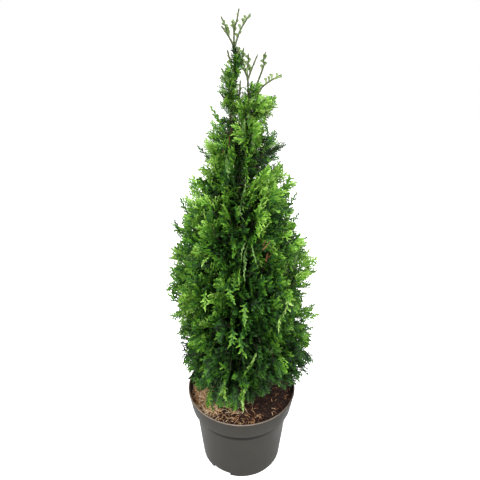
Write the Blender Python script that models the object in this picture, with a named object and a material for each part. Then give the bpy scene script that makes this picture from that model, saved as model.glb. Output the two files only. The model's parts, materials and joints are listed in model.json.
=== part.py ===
"""Thuja in a round nursery pot: pot, potting soil, trunk, second leader, boughs and foliage masses.

Metres, +Z up. The origin is the centre of the pot's underside, and -Y is the front.
Each piece is one closed body. Limbs and masses are worked out from the sizes below.
"""

import math
from typing import NamedTuple

import bmesh
import bpy
from mathutils import Vector, noise
from mathutils.bvhtree import BVHTree

UP = Vector((0, 0, 1))
GAP = 0.0004  # between two pieces that touch in the real plant
CUTTER_OVERRUN = 0.01  # how far a cutter runs past the wall that it cuts
SMOOTH_ANGLE = math.radians(35)  # an edge sharper than this stays sharp

# Pot: a tapering body under a wider collar, with a beaded lip
POT_HEIGHT = 0.180
RIM_RADIUS = 0.115
COLLAR_HEIGHT = 0.043
COLLAR_FOOT_RADIUS = 0.1084
BODY_TOP_RADIUS = 0.1003
BASE_RADIUS = 0.087
WALL = 0.002
BASE_THICKNESS = 0.003
FOOT_CHAMFER = 0.0015
COLLAR_CHAMFER = 0.0008
LIP_WIDTH = 0.0032
LIP_DEPTH = 0.0034
LIP_CHAMFER = 0.0010
POT_SEGMENTS = 48

# Two notches under the body, opposite each other, as angles from the front towards +X
NOTCH_CENTRES = (math.radians(-30), math.radians(150))
NOTCH_SPAN = math.radians(28)
NOTCH_HEIGHT = 0.0075
NOTCH_DEPTH = 0.010
NOTCH_STEPS = 4

DRAIN_HOLES = 6
DRAIN_HOLE_RADIUS = 0.0045
DRAIN_CIRCLE_RADIUS = 0.050
DRAIN_TURN = math.radians(10)
DRAIN_HOLE_SIDES = 12

# Soil: level round the trunk, uneven further out
SOIL_HEIGHT = 0.1650
SOIL_PAD_RADIUS = 0.016
SOIL_RINGS = 4
SOIL_UNEVENNESS = 0.0022
SOIL_LUMP_SIZE = 0.025

# Trunk: its line leans a little to -X and back, and it ends where the leader forks
TRUNK_LINE = (
    Vector((0.000, 0.000, SOIL_HEIGHT + GAP)),
    Vector((-0.001, 0.001, 0.300)),
    Vector((-0.004, 0.002, 0.450)),
    Vector((-0.007, 0.001, 0.620)),
    Vector((-0.018, 0.000, 0.720)),
    Vector((-0.018, 0.000, 0.762)),
    Vector((-0.0115, 0.000, 0.808)),
    Vector((-0.0129, 0.000, 0.8465)),
)
TRUNK_FOOT_RADIUS = 0.0068
TRUNK_TIP_RADIUS = 0.0010
TRUNK_SIDES = 12
FLARE_RADIUS = 0.0045  # what the root flare adds to the foot
FLARE_HEIGHT = 0.014
FLARE_LOBES = 4
FLARE_LOBE_SHARE = 0.22
FLARE_FALL = 2.2  # how steeply the flare dies out over its height
FLARE_STATIONS = (0.35, 1.0)  # shares of its height that get a ring of their own

# Second leader: it leaves the trunk below the crest and runs up beside it
SECOND_LINE = (
    Vector((0.0006, -0.001, 0.566)),
    Vector((0.0045, -0.003, 0.585)),
    Vector((0.0086, -0.004, 0.645)),
    Vector((0.0084, -0.003, 0.705)),
    Vector((0.0096, -0.001, 0.781)),
    Vector((0.0090, 0.000, 0.7985)),
)
SECOND_FORK_HEIGHT = 0.560
SECOND_FOOT_RADIUS = 0.0026
SECOND_TIP_RADIUS = 0.0009
LIMB_SIDES = 8
STATIONS_PER_SPAN = 3
SEAT_GAP = 0.0006  # along a limb, between its end and the uneven surface that it meets
SEAT_BACK_OFF = 0.006  # where the search for a limb's seat starts, behind the limb's end

# Boughs: (tier, sector) that each one grows to
BOUGH_TARGETS = ((0, 0), (0, 2), (1, 1), (1, 3), (1, 5), (2, 0), (2, 3), (3, 1), (3, 4), (4, 2))
BOUGH_FOOT_RADIUS = 0.0034
BOUGH_TIP_SHARE = 0.62
BOUGH_THINNING = 0.45  # share of the radius lost from the lowest bough to the highest
BOUGH_DROP = 0.040  # how far under its mass's middle a bough leaves the trunk
BOUGH_STATIONS_PER_SPAN = 2
BOUGH_LOWEST = 0.020  # above the soil
BOUGH_SAG = 0.004

MASS_SIDES = 10
MASS_RINGS = 6
LUMP_DEPTH = 0.20
LUMP_SHIFT = 0.06  # how far apart two masses are for their unevenness to differ
LEAST_SLANT = 0.02  # a wall that a direction hardly nears is left out
LUMP_SIZE = 0.55  # of the unevenness, on a sphere of radius 1
EDGE_ROUNDING = 0.008
TIP_STRETCH = 0.30
TIP_SHARPNESS = 6
STEM_CLEARANCE = 0.0006  # what a bend in a stem takes from a mass beside it
TIER_WOBBLE = 0.014  # up or down, from one mass of a tier to the next
SIZE_WOBBLE = 0.08
WOBBLE_START = Vector((0.31, 0.47, 0.5))
RIM_CLEARANCE = 0.036  # between the foliage and the rim, at the rim's height


class Tier(NamedTuple):
    """A ring of foliage masses round the trunk."""

    height: float
    count: int
    turn_deg: float  # azimuth of the first mass, from +X towards +Y
    core: float  # radius of the open space round the trunk
    reach: float  # radius of the outer tips
    side: float  # half width
    rise: float  # half height
    lift_deg: float  # how far the tips point above the horizon
    shift_x: float  # the ring's middle


TIERS = (
    Tier(0.222, 5, -90, 0.034, 0.116, 0.066, 0.050, -8, 0.003),
    Tier(0.300, 6, -60, 0.040, 0.142, 0.078, 0.056, 16, 0.005),
    Tier(0.388, 6, -90, 0.038, 0.138, 0.074, 0.060, 34, -0.002),
    Tier(0.472, 5, -55, 0.033, 0.133, 0.080, 0.060, 44, -0.001),
    Tier(0.550, 5, -90, 0.028, 0.118, 0.070, 0.058, 50, -0.006),
    Tier(0.626, 4, -40, 0.021, 0.098, 0.064, 0.056, 56, 0.000),
)


class Crest(NamedTuple):
    """One foliage mass of the crest, placed by itself."""

    name: str
    centre: Vector
    half: Vector  # half sizes along X, Y and Z
    lean: Vector  # the way its tips point


CRESTS = (
    Crest("left", Vector((-0.046, 0.000, 0.684)), Vector((0.033, 0.034, 0.042)), Vector((-0.5, 0, 1))),
    Crest("right_low", Vector((0.038, 0.002, 0.708)), Vector((0.034, 0.040, 0.046)), Vector((0.6, 0, 1))),
    Crest("right_high", Vector((0.032, 0.000, 0.758)), Vector((0.021, 0.026, 0.030)), Vector((0.3, 0, 1))),
    Crest("front", Vector((-0.006, -0.031, 0.703)), Vector((0.034, 0.034, 0.046)), Vector((0, -0.5, 1))),
    Crest("back", Vector((-0.004, 0.032, 0.712)), Vector((0.040, 0.038, 0.050)), Vector((0, 0.4, 1))),
    Crest("column_left", Vector((-0.0260, -0.002, 0.788)), Vector((0.013, 0.012, 0.038)), Vector((0, 0, 1))),
    Crest("column_back", Vector((-0.0110, 0.010, 0.792)), Vector((0.011, 0.014, 0.036)), Vector((0, 0, 1))),
)


class Sprig(NamedTuple):
    """A slim foliage mass in the plane Y = 0, on the piece that carries it."""

    name: str
    carrier: str
    foot: tuple  # X and Z, inside the carrier
    bend: tuple
    tip: tuple
    radius: float


SPRIGS = (
    Sprig("tip_middle", "trunk", (-0.0125, 0.8485), (-0.0080, 0.8720), (-0.0052, 0.9005), 0.0042),
    Sprig("tip_left", "trunk", (-0.0137, 0.8430), (-0.0225, 0.8640), (-0.0322, 0.8885), 0.0042),
    Sprig("tip_right", "trunk", (-0.0115, 0.8400), (0.0020, 0.8620), (0.0125, 0.8930), 0.0040),
    Sprig("second_left", "second_leader", (0.0085, 0.7960), (0.0040, 0.8200), (0.0023, 0.8465), 0.0040),
    Sprig("second_right", "second_leader", (0.0100, 0.7950), (0.0180, 0.8180), (0.0243, 0.8372), 0.0036),
    Sprig("crest_upper", "foliage_right_high", (0.0290, 0.7860), (0.0330, 0.8120), (0.0380, 0.8395), 0.0042),
    Sprig("crest_side", "foliage_right_high", (0.0400, 0.7720), (0.0535, 0.7950), (0.0630, 0.8070), 0.0042),
)
SPRIG_SIDES = 6
SPRIG_STATIONS_PER_SPAN = 2
SPRIG_FOOT_RADIUS = 0.0006
SPRIG_THINNING = 0.35

PLASTIC = ("pot_plastic", (0.098, 0.092, 0.080), 0.55)
SOIL = ("potting_soil", (0.075, 0.042, 0.024), 0.95)
BARK = ("bark", (0.118, 0.062, 0.036), 0.90)
LEAF = ("foliage", (0.075, 0.165, 0.030), 0.70)


def clear_scene():
    """Removes every object of the open scene."""
    for obj in list(bpy.data.objects):
        bpy.data.objects.remove(obj, do_unlink=True)


def finish(name, colour, roughness):
    """The plain Principled material of that name, made once."""
    material = bpy.data.materials.get(name)
    if material is None:
        material = bpy.data.materials.new(name)
        material.use_nodes = True
        shader = material.node_tree.nodes["Principled BSDF"]
        shader.inputs["Base Color"].default_value = (*colour, 1)
        shader.inputs["Roughness"].default_value = roughness
        shader.inputs["Metallic"].default_value = 0
    return material


def closed_body(name, rings, look):
    """An object whose surface runs over a stack of rings of points. A ring of one point closes it there."""
    bm = bmesh.new()
    stack = [[bm.verts.new(point) for point in ring] for ring in rings]
    for lower, upper in zip(stack, stack[1:]):
        sides = max(len(lower), len(upper))
        for k in range(sides):
            corners = [
                lower[k % len(lower)],
                lower[(k + 1) % len(lower)],
                upper[(k + 1) % len(upper)],
                upper[k % len(upper)],
            ]
            bm.faces.new(list(dict.fromkeys(corners)))
    for end in (stack[0], stack[-1]):
        if len(end) > 1:
            bm.faces.new(end)
    bmesh.ops.recalc_face_normals(bm, faces=bm.faces)
    mesh = bpy.data.meshes.new(name)
    bm.to_mesh(mesh)
    bm.free()
    mesh.shade_smooth()
    mesh.set_sharp_from_angle(angle=SMOOTH_ANGLE)
    mesh.materials.append(finish(*look))
    body = bpy.data.objects.new(name, mesh)
    bpy.context.scene.collection.objects.link(body)
    return body


def cut_or_join(body, other, operation):
    """Applies a Boolean of the helper body other to body, and removes the helper."""
    modifier = body.modifiers.new(other.name, "BOOLEAN")
    modifier.operation = operation
    modifier.object = other
    bpy.context.view_layer.update()
    evaluated = body.evaluated_get(bpy.context.evaluated_depsgraph_get())
    result = bpy.data.meshes.new_from_object(evaluated)
    body.modifiers.remove(modifier)
    body.data = result
    bpy.data.objects.remove(other, do_unlink=True)


def level_ring(radius, height, sides, centre=(0, 0)):
    """Points of a level circle, or its one middle point where the radius is 0."""
    if radius == 0:
        return [Vector((*centre, height))]
    middle = Vector((*centre, height))
    turns = [2 * math.pi * k / sides for k in range(sides)]
    return [middle + Vector((math.cos(t), math.sin(t), 0)) * radius for t in turns]


def inner_wall():
    """The inside of the pot as (radius, height) points, from the lip down to the base plate's edge."""
    collar_foot = POT_HEIGHT - COLLAR_HEIGHT
    return [
        (RIM_RADIUS - LIP_WIDTH, POT_HEIGHT - LIP_CHAMFER),
        (RIM_RADIUS - LIP_WIDTH, POT_HEIGHT - LIP_DEPTH),
        (COLLAR_FOOT_RADIUS - WALL, collar_foot + WALL),
        (BODY_TOP_RADIUS - WALL, collar_foot + WALL),
        (BASE_RADIUS - WALL, BASE_THICKNESS),
    ]


def outer_wall():
    """The outside of the pot as (radius, height) points, from the foot up to the top of the lip."""
    collar_foot = POT_HEIGHT - COLLAR_HEIGHT
    return [
        (BASE_RADIUS - FOOT_CHAMFER, 0),
        (BASE_RADIUS, FOOT_CHAMFER),
        (BODY_TOP_RADIUS, collar_foot),
        (COLLAR_FOOT_RADIUS - COLLAR_CHAMFER, collar_foot),
        (COLLAR_FOOT_RADIUS, collar_foot + COLLAR_CHAMFER),
        (RIM_RADIUS, POT_HEIGHT - LIP_DEPTH),
        (RIM_RADIUS, POT_HEIGHT - LIP_CHAMFER),
        (RIM_RADIUS - LIP_CHAMFER, POT_HEIGHT),
        (RIM_RADIUS - LIP_WIDTH + LIP_CHAMFER, POT_HEIGHT),
    ]


def notch_block(centre, wall, reach_out, look):
    """A sector of a ring that fills one notch, with a wall of that thickness round the notch's space."""
    inner = BASE_RADIUS - NOTCH_DEPTH - wall
    outer = BASE_RADIUS + reach_out
    half = NOTCH_SPAN / 2 + wall / BASE_RADIUS
    low, high = -CUTTER_OVERRUN if wall == 0 else BASE_THICKNESS / 2, NOTCH_HEIGHT + wall
    arc = [centre - half + 2 * half * k / NOTCH_STEPS for k in range(NOTCH_STEPS + 1)]
    corners = [(outer, a) for a in arc] + [(inner, a) for a in reversed(arc)]
    flat = [Vector((r * math.sin(a), -r * math.cos(a), 0)) for r, a in corners]
    return closed_body("notch", [[p + UP * low for p in flat], [p + UP * high for p in flat]], look)


def make_pot():
    """The pot: turned wall and base, a housing joined inside for each notch, then notches and holes cut."""
    profile = [(0, 0), *outer_wall(), *inner_wall(), (0, BASE_THICKNESS)]
    pot = closed_body("pot", [level_ring(r, z, POT_SEGMENTS) for r, z in profile], PLASTIC)
    for centre in NOTCH_CENTRES:
        cut_or_join(pot, notch_block(centre, WALL, -WALL / 2, PLASTIC), "UNION")
        cut_or_join(pot, notch_block(centre, 0, CUTTER_OVERRUN, PLASTIC), "DIFFERENCE")
    for k in range(DRAIN_HOLES):
        turn = DRAIN_TURN + 2 * math.pi * k / DRAIN_HOLES
        middle = (DRAIN_CIRCLE_RADIUS * math.cos(turn), DRAIN_CIRCLE_RADIUS * math.sin(turn))
        ends = (-CUTTER_OVERRUN, CUTTER_OVERRUN)
        rings = [level_ring(DRAIN_HOLE_RADIUS, z, DRAIN_HOLE_SIDES, middle) for z in ends]
        cut_or_join(pot, closed_body("drain", rings, PLASTIC), "DIFFERENCE")
    return pot


def make_soil():
    """The soil: it fills the pot to just under the rim, level at the trunk and uneven further out."""
    _, below_lip, collar, step, foot = inner_wall()
    share = (SOIL_HEIGHT - collar[1]) / (below_lip[1] - collar[1])
    edge = collar[0] + share * (below_lip[0] - collar[0]) - GAP
    profile = [
        (0, foot[1] + GAP),
        (foot[0] - GAP, foot[1] + GAP),
        (step[0] - GAP, step[1] + GAP),
        (collar[0] - GAP, collar[1] + GAP),
    ]
    rings = [level_ring(r, z, POT_SEGMENTS) for r, z in profile]
    for k in range(SOIL_RINGS, -1, -1):
        radius = SOIL_PAD_RADIUS + (edge - SOIL_PAD_RADIUS) * k / SOIL_RINGS
        ring = level_ring(radius, SOIL_HEIGHT, POT_SEGMENTS)
        for point in ring:
            point.z += SOIL_UNEVENNESS * noise.noise(point / SOIL_LUMP_SIZE) * min(1, k / 2)
        rings.append(ring)
    soil = closed_body("potting_soil", rings, SOIL)
    for centre in NOTCH_CENTRES:
        cut_or_join(soil, notch_block(centre, WALL + GAP, WALL, SOIL), "DIFFERENCE")
    return soil


def smooth_line(points, per_span=STATIONS_PER_SPAN):
    """Points of a Catmull-Rom curve through the given ones."""
    ends = [2 * points[0] - points[1], *points, 2 * points[-1] - points[-2]]
    line = []
    for a, b, c, d in zip(ends, ends[1:], ends[2:], ends[3:]):
        for k in range(per_span):
            t = k / per_span
            bend = (2 * a - 5 * b + 4 * c - d) * t**2 + (3 * b - a - 3 * c + d) * t**3
            line.append(b + ((c - a) * t + bend) / 2)
    return [*line, points[-1]]


def tube_rings(line, radius_at, sides):
    """Rings square to a line. radius_at takes the share of the line's length and the angle round it."""
    rings = []
    for k, point in enumerate(line):
        along = (line[min(k + 1, len(line) - 1)] - line[max(k - 1, 0)]).normalized()
        across = along.cross(Vector((0, 1, 0))).normalized()
        other = along.cross(across)
        share = k / (len(line) - 1)
        ring = []
        for side in range(sides):
            turn = 2 * math.pi * side / sides
            ring.append(point + (across * math.cos(turn) + other * math.sin(turn)) * radius_at(share, turn))
        rings.append(ring)
    return rings


def trunk_radius(height):
    """The trunk's radius above its flare."""
    share = (height - SOIL_HEIGHT) / (TRUNK_LINE[-1].z - SOIL_HEIGHT)
    return TRUNK_FOOT_RADIUS + (TRUNK_TIP_RADIUS - TRUNK_FOOT_RADIUS) * share


def make_trunk():
    """The trunk: a flat cut on the soil, a lobed root flare, and an even taper to the leader's fork."""
    line = smooth_line(TRUNK_LINE)
    foot = line[0]
    line[1:1] = [foot + UP * FLARE_HEIGHT * share for share in FLARE_STATIONS]

    def radius_at(share, turn):
        height = line[round(share * (len(line) - 1))].z
        lobes = 1 + FLARE_LOBE_SHARE * math.cos(FLARE_LOBES * turn)
        flare = FLARE_RADIUS * lobes * math.exp(-FLARE_FALL * (height - foot.z) / FLARE_HEIGHT)
        return trunk_radius(height) + flare

    rings = tube_rings(line, radius_at, TRUNK_SIDES)
    for point in rings[0]:
        point.z = foot.z
    return closed_body("trunk", rings, BARK)


def from_surface(line, surface):
    """The line with its first point moved to where the line leaves a surface."""
    towards = (line[0] - line[1]).normalized()
    return [surface.ray_cast(line[1], towards)[0] - towards * GAP, *line[1:]]


def seated(points, towards, surface, flat):
    """The points moved along a direction to just short of a surface: all by the least move, or each alone."""
    moves = []
    for point in points:
        distance = surface.ray_cast(point - towards * SEAT_BACK_OFF, towards)[3]
        moves.append(0 if distance is None else distance - SEAT_BACK_OFF - SEAT_GAP)
    if flat:
        moves = [min(moves)] * len(points)
    return [point + towards * move for point, move in zip(points, moves)]


def seated_limb(name, line, radius_at, sides, look, carrier, on_stem, target=None):
    """A limb whose foot is seated on its carrier. Its far end is seated on a target, or closes in a tip."""
    rings = tube_rings(line, radius_at, sides)
    start = (line[1] - line[0]).normalized()
    end = (line[-1] - line[-2]).normalized()
    *rings[0], foot = seated([*rings[0], line[0]], -start, carrier, not on_stem)
    if target is None:
        return closed_body(name, [[foot], *rings[:-1], [line[-1]]], look)
    *rings[-1], tip = seated([*rings[-1], line[-1]], end, target, True)
    return closed_body(name, [[foot], *rings, [tip]], look)


def nearest_on(line, point):
    """The point of a line of points that is nearest to another point."""
    best = min(range(len(line) - 1), key=lambda k: ((line[k] + line[k + 1]) / 2 - point).length)
    along = (line[best + 1] - line[best]).normalized()
    return line[best] + along * (point - line[best]).dot(along)


def stem_wall(centre, line, radius):
    """The plane (normal, distance) that keeps a mass off a stem."""
    off = nearest_on(line, centre) - centre
    return off.normalized(), off.length - radius - STEM_CLEARANCE


def shared_wall(centre, size, other_centre, other_size):
    """The plane between two masses, nearer to the smaller one, with half of the gap on this side."""
    off = other_centre - centre
    middle = (off.length_squared + size**2 - other_size**2) / (2 * off.length)
    return off.normalized(), middle - GAP / 2


def smooth_least(values, blend):
    """The least of some lengths, rounded off where two are nearly equal."""
    ordered = sorted(values)
    least = ordered[0]
    if len(ordered) > 1 and ordered[1] - least < blend:
        least -= (blend - (ordered[1] - least)) ** 2 / (4 * blend)
    return least


def mass_body(mass, walls):
    """A foliage mass: an uneven lump of its half sizes, pointed along its growth, within its flat walls."""
    centre, growth = mass.centre, mass.growth.normalized()
    side = UP.cross(mass.out)
    over = side.cross(growth).normalized()

    def reach(direction):
        parts = (direction.dot(mass.out), direction.dot(side), direction.z)
        across = Vector([part / size for part, size in zip(parts, mass.half)])
        uneven = noise.noise(centre / LUMP_SHIFT + direction / LUMP_SIZE)
        stretch = TIP_STRETCH * max(direction.dot(growth), 0) ** TIP_SHARPNESS
        limits = [(1 - LUMP_DEPTH * abs(uneven) + stretch) / across.length]
        for normal, distance in walls:
            slant = direction.dot(normal)
            if slant > LEAST_SLANT:
                limits.append(distance / slant)
        return smooth_least(limits, EDGE_ROUNDING)

    rings = [[centre - growth * reach(-growth)]]
    for ring in range(1, MASS_RINGS + 1):
        tilt = math.pi * ring / (MASS_RINGS + 1)
        points = []
        for k in range(MASS_SIDES):
            turn = 2 * math.pi * (k + ring % 2 / 2) / MASS_SIDES
            flat = side * math.cos(turn) + over * math.sin(turn)
            direction = flat * math.sin(tilt) - growth * math.cos(tilt)
            points.append(centre + direction * reach(direction))
        rings.append(points)
    rings.append([centre + growth * reach(growth)])
    return closed_body(mass.name, rings, LEAF)


class Mass(NamedTuple):
    """What a foliage mass is made from, before its neighbours are known."""

    name: str
    centre: Vector
    out: Vector  # level, away from the trunk
    half: Vector  # half sizes outwards, sideways and upwards
    growth: Vector
    walls: list


def tier_mass(number, sector):
    """One mass of a tier, walled off from the trunk's open space, the soil and the pot's rim."""
    tier = TIERS[number]
    turn = math.radians(tier.turn_deg) + 2 * math.pi * sector / tier.count
    lift = math.radians(tier.lift_deg)
    out = Vector((math.cos(turn), math.sin(turn), 0))
    wobble = noise.noise(Vector((number, sector, 0)) + WOBBLE_START)
    middle = (tier.core + tier.reach) / 2
    centre = Vector((tier.shift_x, 0, tier.height + TIER_WOBBLE * wobble)) + out * middle
    half = Vector(((tier.reach - tier.core) / 2 * (1 + SIZE_WOBBLE * wobble), tier.side, tier.rise))
    off_rim = (out - UP).normalized()
    rim = out * (RIM_RADIUS - RIM_CLEARANCE) + UP * POT_HEIGHT
    walls = [
        (-out, middle - tier.core),
        (-UP, centre.z - SOIL_HEIGHT - 2 * SOIL_UNEVENNESS),
        (off_rim, (rim - centre).dot(off_rim)),
    ]
    growth = out * math.cos(lift) + UP * math.sin(lift)
    return Mass(f"foliage_tier{number + 1}_{sector + 1}", centre, out, half, growth, walls)


def crest_mass(crest, trunk_line, second_line):
    """One mass of the crest, walled off from both stems."""
    walls = [
        stem_wall(crest.centre, trunk_line, trunk_radius(crest.centre.z)),
        stem_wall(crest.centre, second_line, (SECOND_FOOT_RADIUS + SECOND_TIP_RADIUS) / 2),
    ]
    return Mass(f"foliage_{crest.name}", crest.centre, Vector((1, 0, 0)), crest.half, crest.lean, walls)


def make_masses(trunk_line, second_line):
    """All the masses, each walled off from every other one."""
    places = [(number, sector) for number, tier in enumerate(TIERS) for sector in range(tier.count)]
    planned = [tier_mass(*place) for place in places]
    planned += [crest_mass(crest, trunk_line, second_line) for crest in CRESTS]
    bodies = {}
    for mass in planned:
        shared = [
            shared_wall(mass.centre, sum(mass.half) / 3, other.centre, sum(other.half) / 3)
            for other in planned
            if other is not mass
        ]
        bodies[mass.name] = mass_body(mass, mass.walls + shared)
    return planned, bodies


def joined_surface(bodies):
    """One search tree of the faces of several bodies."""
    points, faces = [], []
    for body in bodies:
        first = len(points)
        points += [vertex.co for vertex in body.data.vertices]
        faces += [[first + k for k in face.vertices] for face in body.data.polygons]
    return BVHTree.FromPolygons(points, faces)


def make_boughs(trunk, trunk_line, planned, masses):
    """The main boughs: each leaves the trunk, bends up and ends where it enters the foliage."""
    trunk_surface = joined_surface([trunk])
    foliage = joined_surface(masses.values())
    centres = {mass.name: mass.centre for mass in planned}
    for number, (tier, sector) in enumerate(BOUGH_TARGETS):
        goal = centres[f"foliage_tier{tier + 1}_{sector + 1}"]
        foot = nearest_on(trunk_line, UP * max(goal.z - BOUGH_DROP, SOIL_HEIGHT + BOUGH_LOWEST))
        level = Vector((goal.x - foot.x, goal.y - foot.y, 0)).normalized()
        entry = foliage.ray_cast(foot + level * 2 * TRUNK_FOOT_RADIUS, (goal - foot).normalized())[0]
        bend = (foot + entry) / 2 - UP * BOUGH_SAG
        line = smooth_line(from_surface([foot, bend, entry], trunk_surface), BOUGH_STATIONS_PER_SPAN)
        radius = BOUGH_FOOT_RADIUS * (1 - BOUGH_THINNING * number / len(BOUGH_TARGETS))

        def radius_at(share, _):
            return radius * (1 - (1 - BOUGH_TIP_SHARE) * share)

        name = f"bough_{number + 1:02d}"
        seated_limb(name, line, radius_at, LIMB_SIDES, BARK, trunk_surface, True, foliage)


def make_second_leader(trunk, trunk_line):
    """The second leader, seated on the trunk's side."""
    foot = nearest_on(trunk_line, UP * SECOND_FORK_HEIGHT)
    surface = joined_surface([trunk])
    line = smooth_line(from_surface([foot, *SECOND_LINE], surface))

    def radius_at(share, _):
        return SECOND_FOOT_RADIUS + (SECOND_TIP_RADIUS - SECOND_FOOT_RADIUS) * share

    return seated_limb("second_leader", line, radius_at, LIMB_SIDES, BARK, surface, True), line


def make_sprigs(carriers):
    """The slim masses at the top: three prongs of the leader, two of the second leader, two on the crest."""
    for sprig in SPRIGS:
        surface = joined_surface([carriers[sprig.carrier]])
        points = [Vector((x, 0, z)) for x, z in (sprig.foot, sprig.bend, sprig.tip)]
        line = smooth_line(from_surface(points, surface), SPRIG_STATIONS_PER_SPAN)
        swell = sprig.radius

        def radius_at(share, _):
            return SPRIG_FOOT_RADIUS + swell * math.sin(math.pi * share) * (1 - SPRIG_THINNING * share)

        seated_limb(f"foliage_{sprig.name}", line, radius_at, SPRIG_SIDES, LEAF, surface, False)


def main():
    """Builds every piece of the potted plant."""
    clear_scene()
    make_pot()
    make_soil()
    trunk = make_trunk()
    trunk_line = smooth_line(TRUNK_LINE)
    second, second_line = make_second_leader(trunk, trunk_line)
    planned, masses = make_masses(trunk_line, second_line)
    make_boughs(trunk, trunk_line, planned, masses)
    make_sprigs({"trunk": trunk, "second_leader": second, **masses})


main()
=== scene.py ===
"""A potted thuja: nursery pot, potting soil, woody frame and foliage, on a pale studio floor.

Metres, +Z up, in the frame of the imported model. The origin is the centre of the pot's underside, and -Y is
the plant's front. Each sub-assembly is a class that builds its meshes and dresses them. The foliage grows on
from the limbs by a seeded branching rule: stems bear plumes, a plume bears sprays, and a spray is a flat fan
of scaly shoots.
"""

import bisect
import json
import logging
import math
import random
from dataclasses import dataclass, field, replace
from enum import Enum, IntEnum
from typing import Sequence

import bmesh
import bpy
from mathutils import Matrix, Quaternion, Vector, noise

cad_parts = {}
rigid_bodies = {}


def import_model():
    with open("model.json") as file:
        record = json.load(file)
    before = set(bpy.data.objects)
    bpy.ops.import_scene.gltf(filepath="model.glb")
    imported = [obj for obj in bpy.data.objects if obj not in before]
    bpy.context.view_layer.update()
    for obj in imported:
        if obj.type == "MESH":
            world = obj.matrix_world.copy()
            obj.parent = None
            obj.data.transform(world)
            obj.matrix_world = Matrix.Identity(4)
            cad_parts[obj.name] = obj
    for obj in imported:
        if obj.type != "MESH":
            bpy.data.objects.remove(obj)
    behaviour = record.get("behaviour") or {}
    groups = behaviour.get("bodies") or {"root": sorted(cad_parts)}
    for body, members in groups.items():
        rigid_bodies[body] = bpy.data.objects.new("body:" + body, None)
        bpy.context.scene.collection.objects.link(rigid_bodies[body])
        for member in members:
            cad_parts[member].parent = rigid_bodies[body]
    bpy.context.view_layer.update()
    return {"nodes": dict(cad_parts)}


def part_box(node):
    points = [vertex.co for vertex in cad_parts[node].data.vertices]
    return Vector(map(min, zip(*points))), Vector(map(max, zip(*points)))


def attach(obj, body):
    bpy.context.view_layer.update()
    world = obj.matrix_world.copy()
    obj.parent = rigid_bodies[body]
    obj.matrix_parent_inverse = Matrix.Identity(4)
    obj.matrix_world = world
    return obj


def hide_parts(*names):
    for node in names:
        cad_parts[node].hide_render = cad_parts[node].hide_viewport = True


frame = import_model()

UP = Vector((0, 0, 1))
FRONT = Vector((0, -1, 0))
GOLDEN_ANGLE = math.pi * (3 - math.sqrt(5))
LOG = logging.getLogger("potted_thuja")

Pair = tuple[float, float]
Triple = tuple[float, float, float]
Material = bpy.types.Material
Mesh = bpy.types.Mesh
NodeTree = bpy.types.NodeTree
Object = bpy.types.Object
Socket = bpy.types.NodeSocket


class Slot(Enum):
    """The record's material slots."""

    POT = "pot_plastic"
    SOIL = "potting_soil"
    BARK = "bark"
    FOLIAGE = "foliage"


class Tone(IntEnum):
    """The plain colours that are dealt out by spray, from the inside of the crown to its lit tips.

    The age of a face, from 0 for old to 3 for young, is added to its spray's tone, so a spray's old inner
    parts take painted shade and its young tips painted light, as well as the paler colour of young growth.
    """

    SHADE = 0
    DEEP = 1
    DARK = 2
    MID = 3
    FRESH = 4
    LIT = 5
    BRIGHT = 6
    PALE = 10
    DRY = 14


_, DEEP, DARK, MID, FRESH, _, _, PALE, DRY = Tone

# ---------------------------------------------------------- node helpers


class Graph:
    """A node tree under construction."""

    def __init__(self, tree: NodeTree) -> None:
        """Starts an empty tree."""
        self.tree = tree
        tree.nodes.clear()

    def add(self, kind: str, inputs: dict | None = None, **settings: object) -> bpy.types.Node:
        """Adds one node.

        Args:
            kind: The node's type name.
            inputs: Sockets to link or values to set, by the name or number of the input.
            settings: Properties of the node itself.

        Returns:
            The new node.
        """
        node = self.tree.nodes.new(kind)
        for name, value in settings.items():
            setattr(node, name, value)
        self.feed(node, inputs or {})
        return node

    def feed(self, node: bpy.types.Node, inputs: dict) -> None:
        """Links sockets to a node's inputs, or sets values there, by name or number."""
        for key, value in inputs.items():
            if isinstance(value, Socket):
                self.tree.links.new(value, node.inputs[key])
            else:
                node.inputs[key].default_value = value

    def math(self, operation: str, *values: object) -> Socket:
        """The output of a Math node over the given sockets or numbers."""
        return self.add("ShaderNodeMath", dict(enumerate(values)), operation=operation).outputs[0]

    def times(self, first: object, second: object) -> Socket:
        """The product of two sockets or numbers."""
        return self.math("MULTIPLY", first, second)

    def vectors(self, operation: str, first: Socket, second: Sequence[float]) -> Socket:
        """The number that a Vector Math node makes of a socket and a vector."""
        return self.add("ShaderNodeVectorMath", {0: first, 1: second}, operation=operation).outputs["Value"]

    def noise(self, vector: Socket, scale: float, detail: float = 4.0) -> Socket:
        """The value of a noise texture over a vector."""
        inputs = {"Vector": vector, "Scale": scale, "Detail": detail}
        return self.add("ShaderNodeTexNoise", inputs).outputs["Fac"]

    def spread(self, value: Socket, low: float, high: float, to_low: float = 0.0,
               to_high: float = 1.0) -> Socket:
        """A value mapped from one range to another, clamped."""
        inputs = {"Value": value, "From Min": low, "From Max": high, "To Min": to_low, "To Max": to_high}
        return self.add("ShaderNodeMapRange", inputs).outputs["Result"]

    def blend(self, share: object, *colours: Socket | Triple) -> Socket:
        """Two colours mixed by a share."""
        first, second = (colour if isinstance(colour, Socket) else (*colour, 1.0) for colour in colours)
        return self.add("ShaderNodeMix", {0: share, 6: first, 7: second}, data_type="RGBA").outputs[2]


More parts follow.
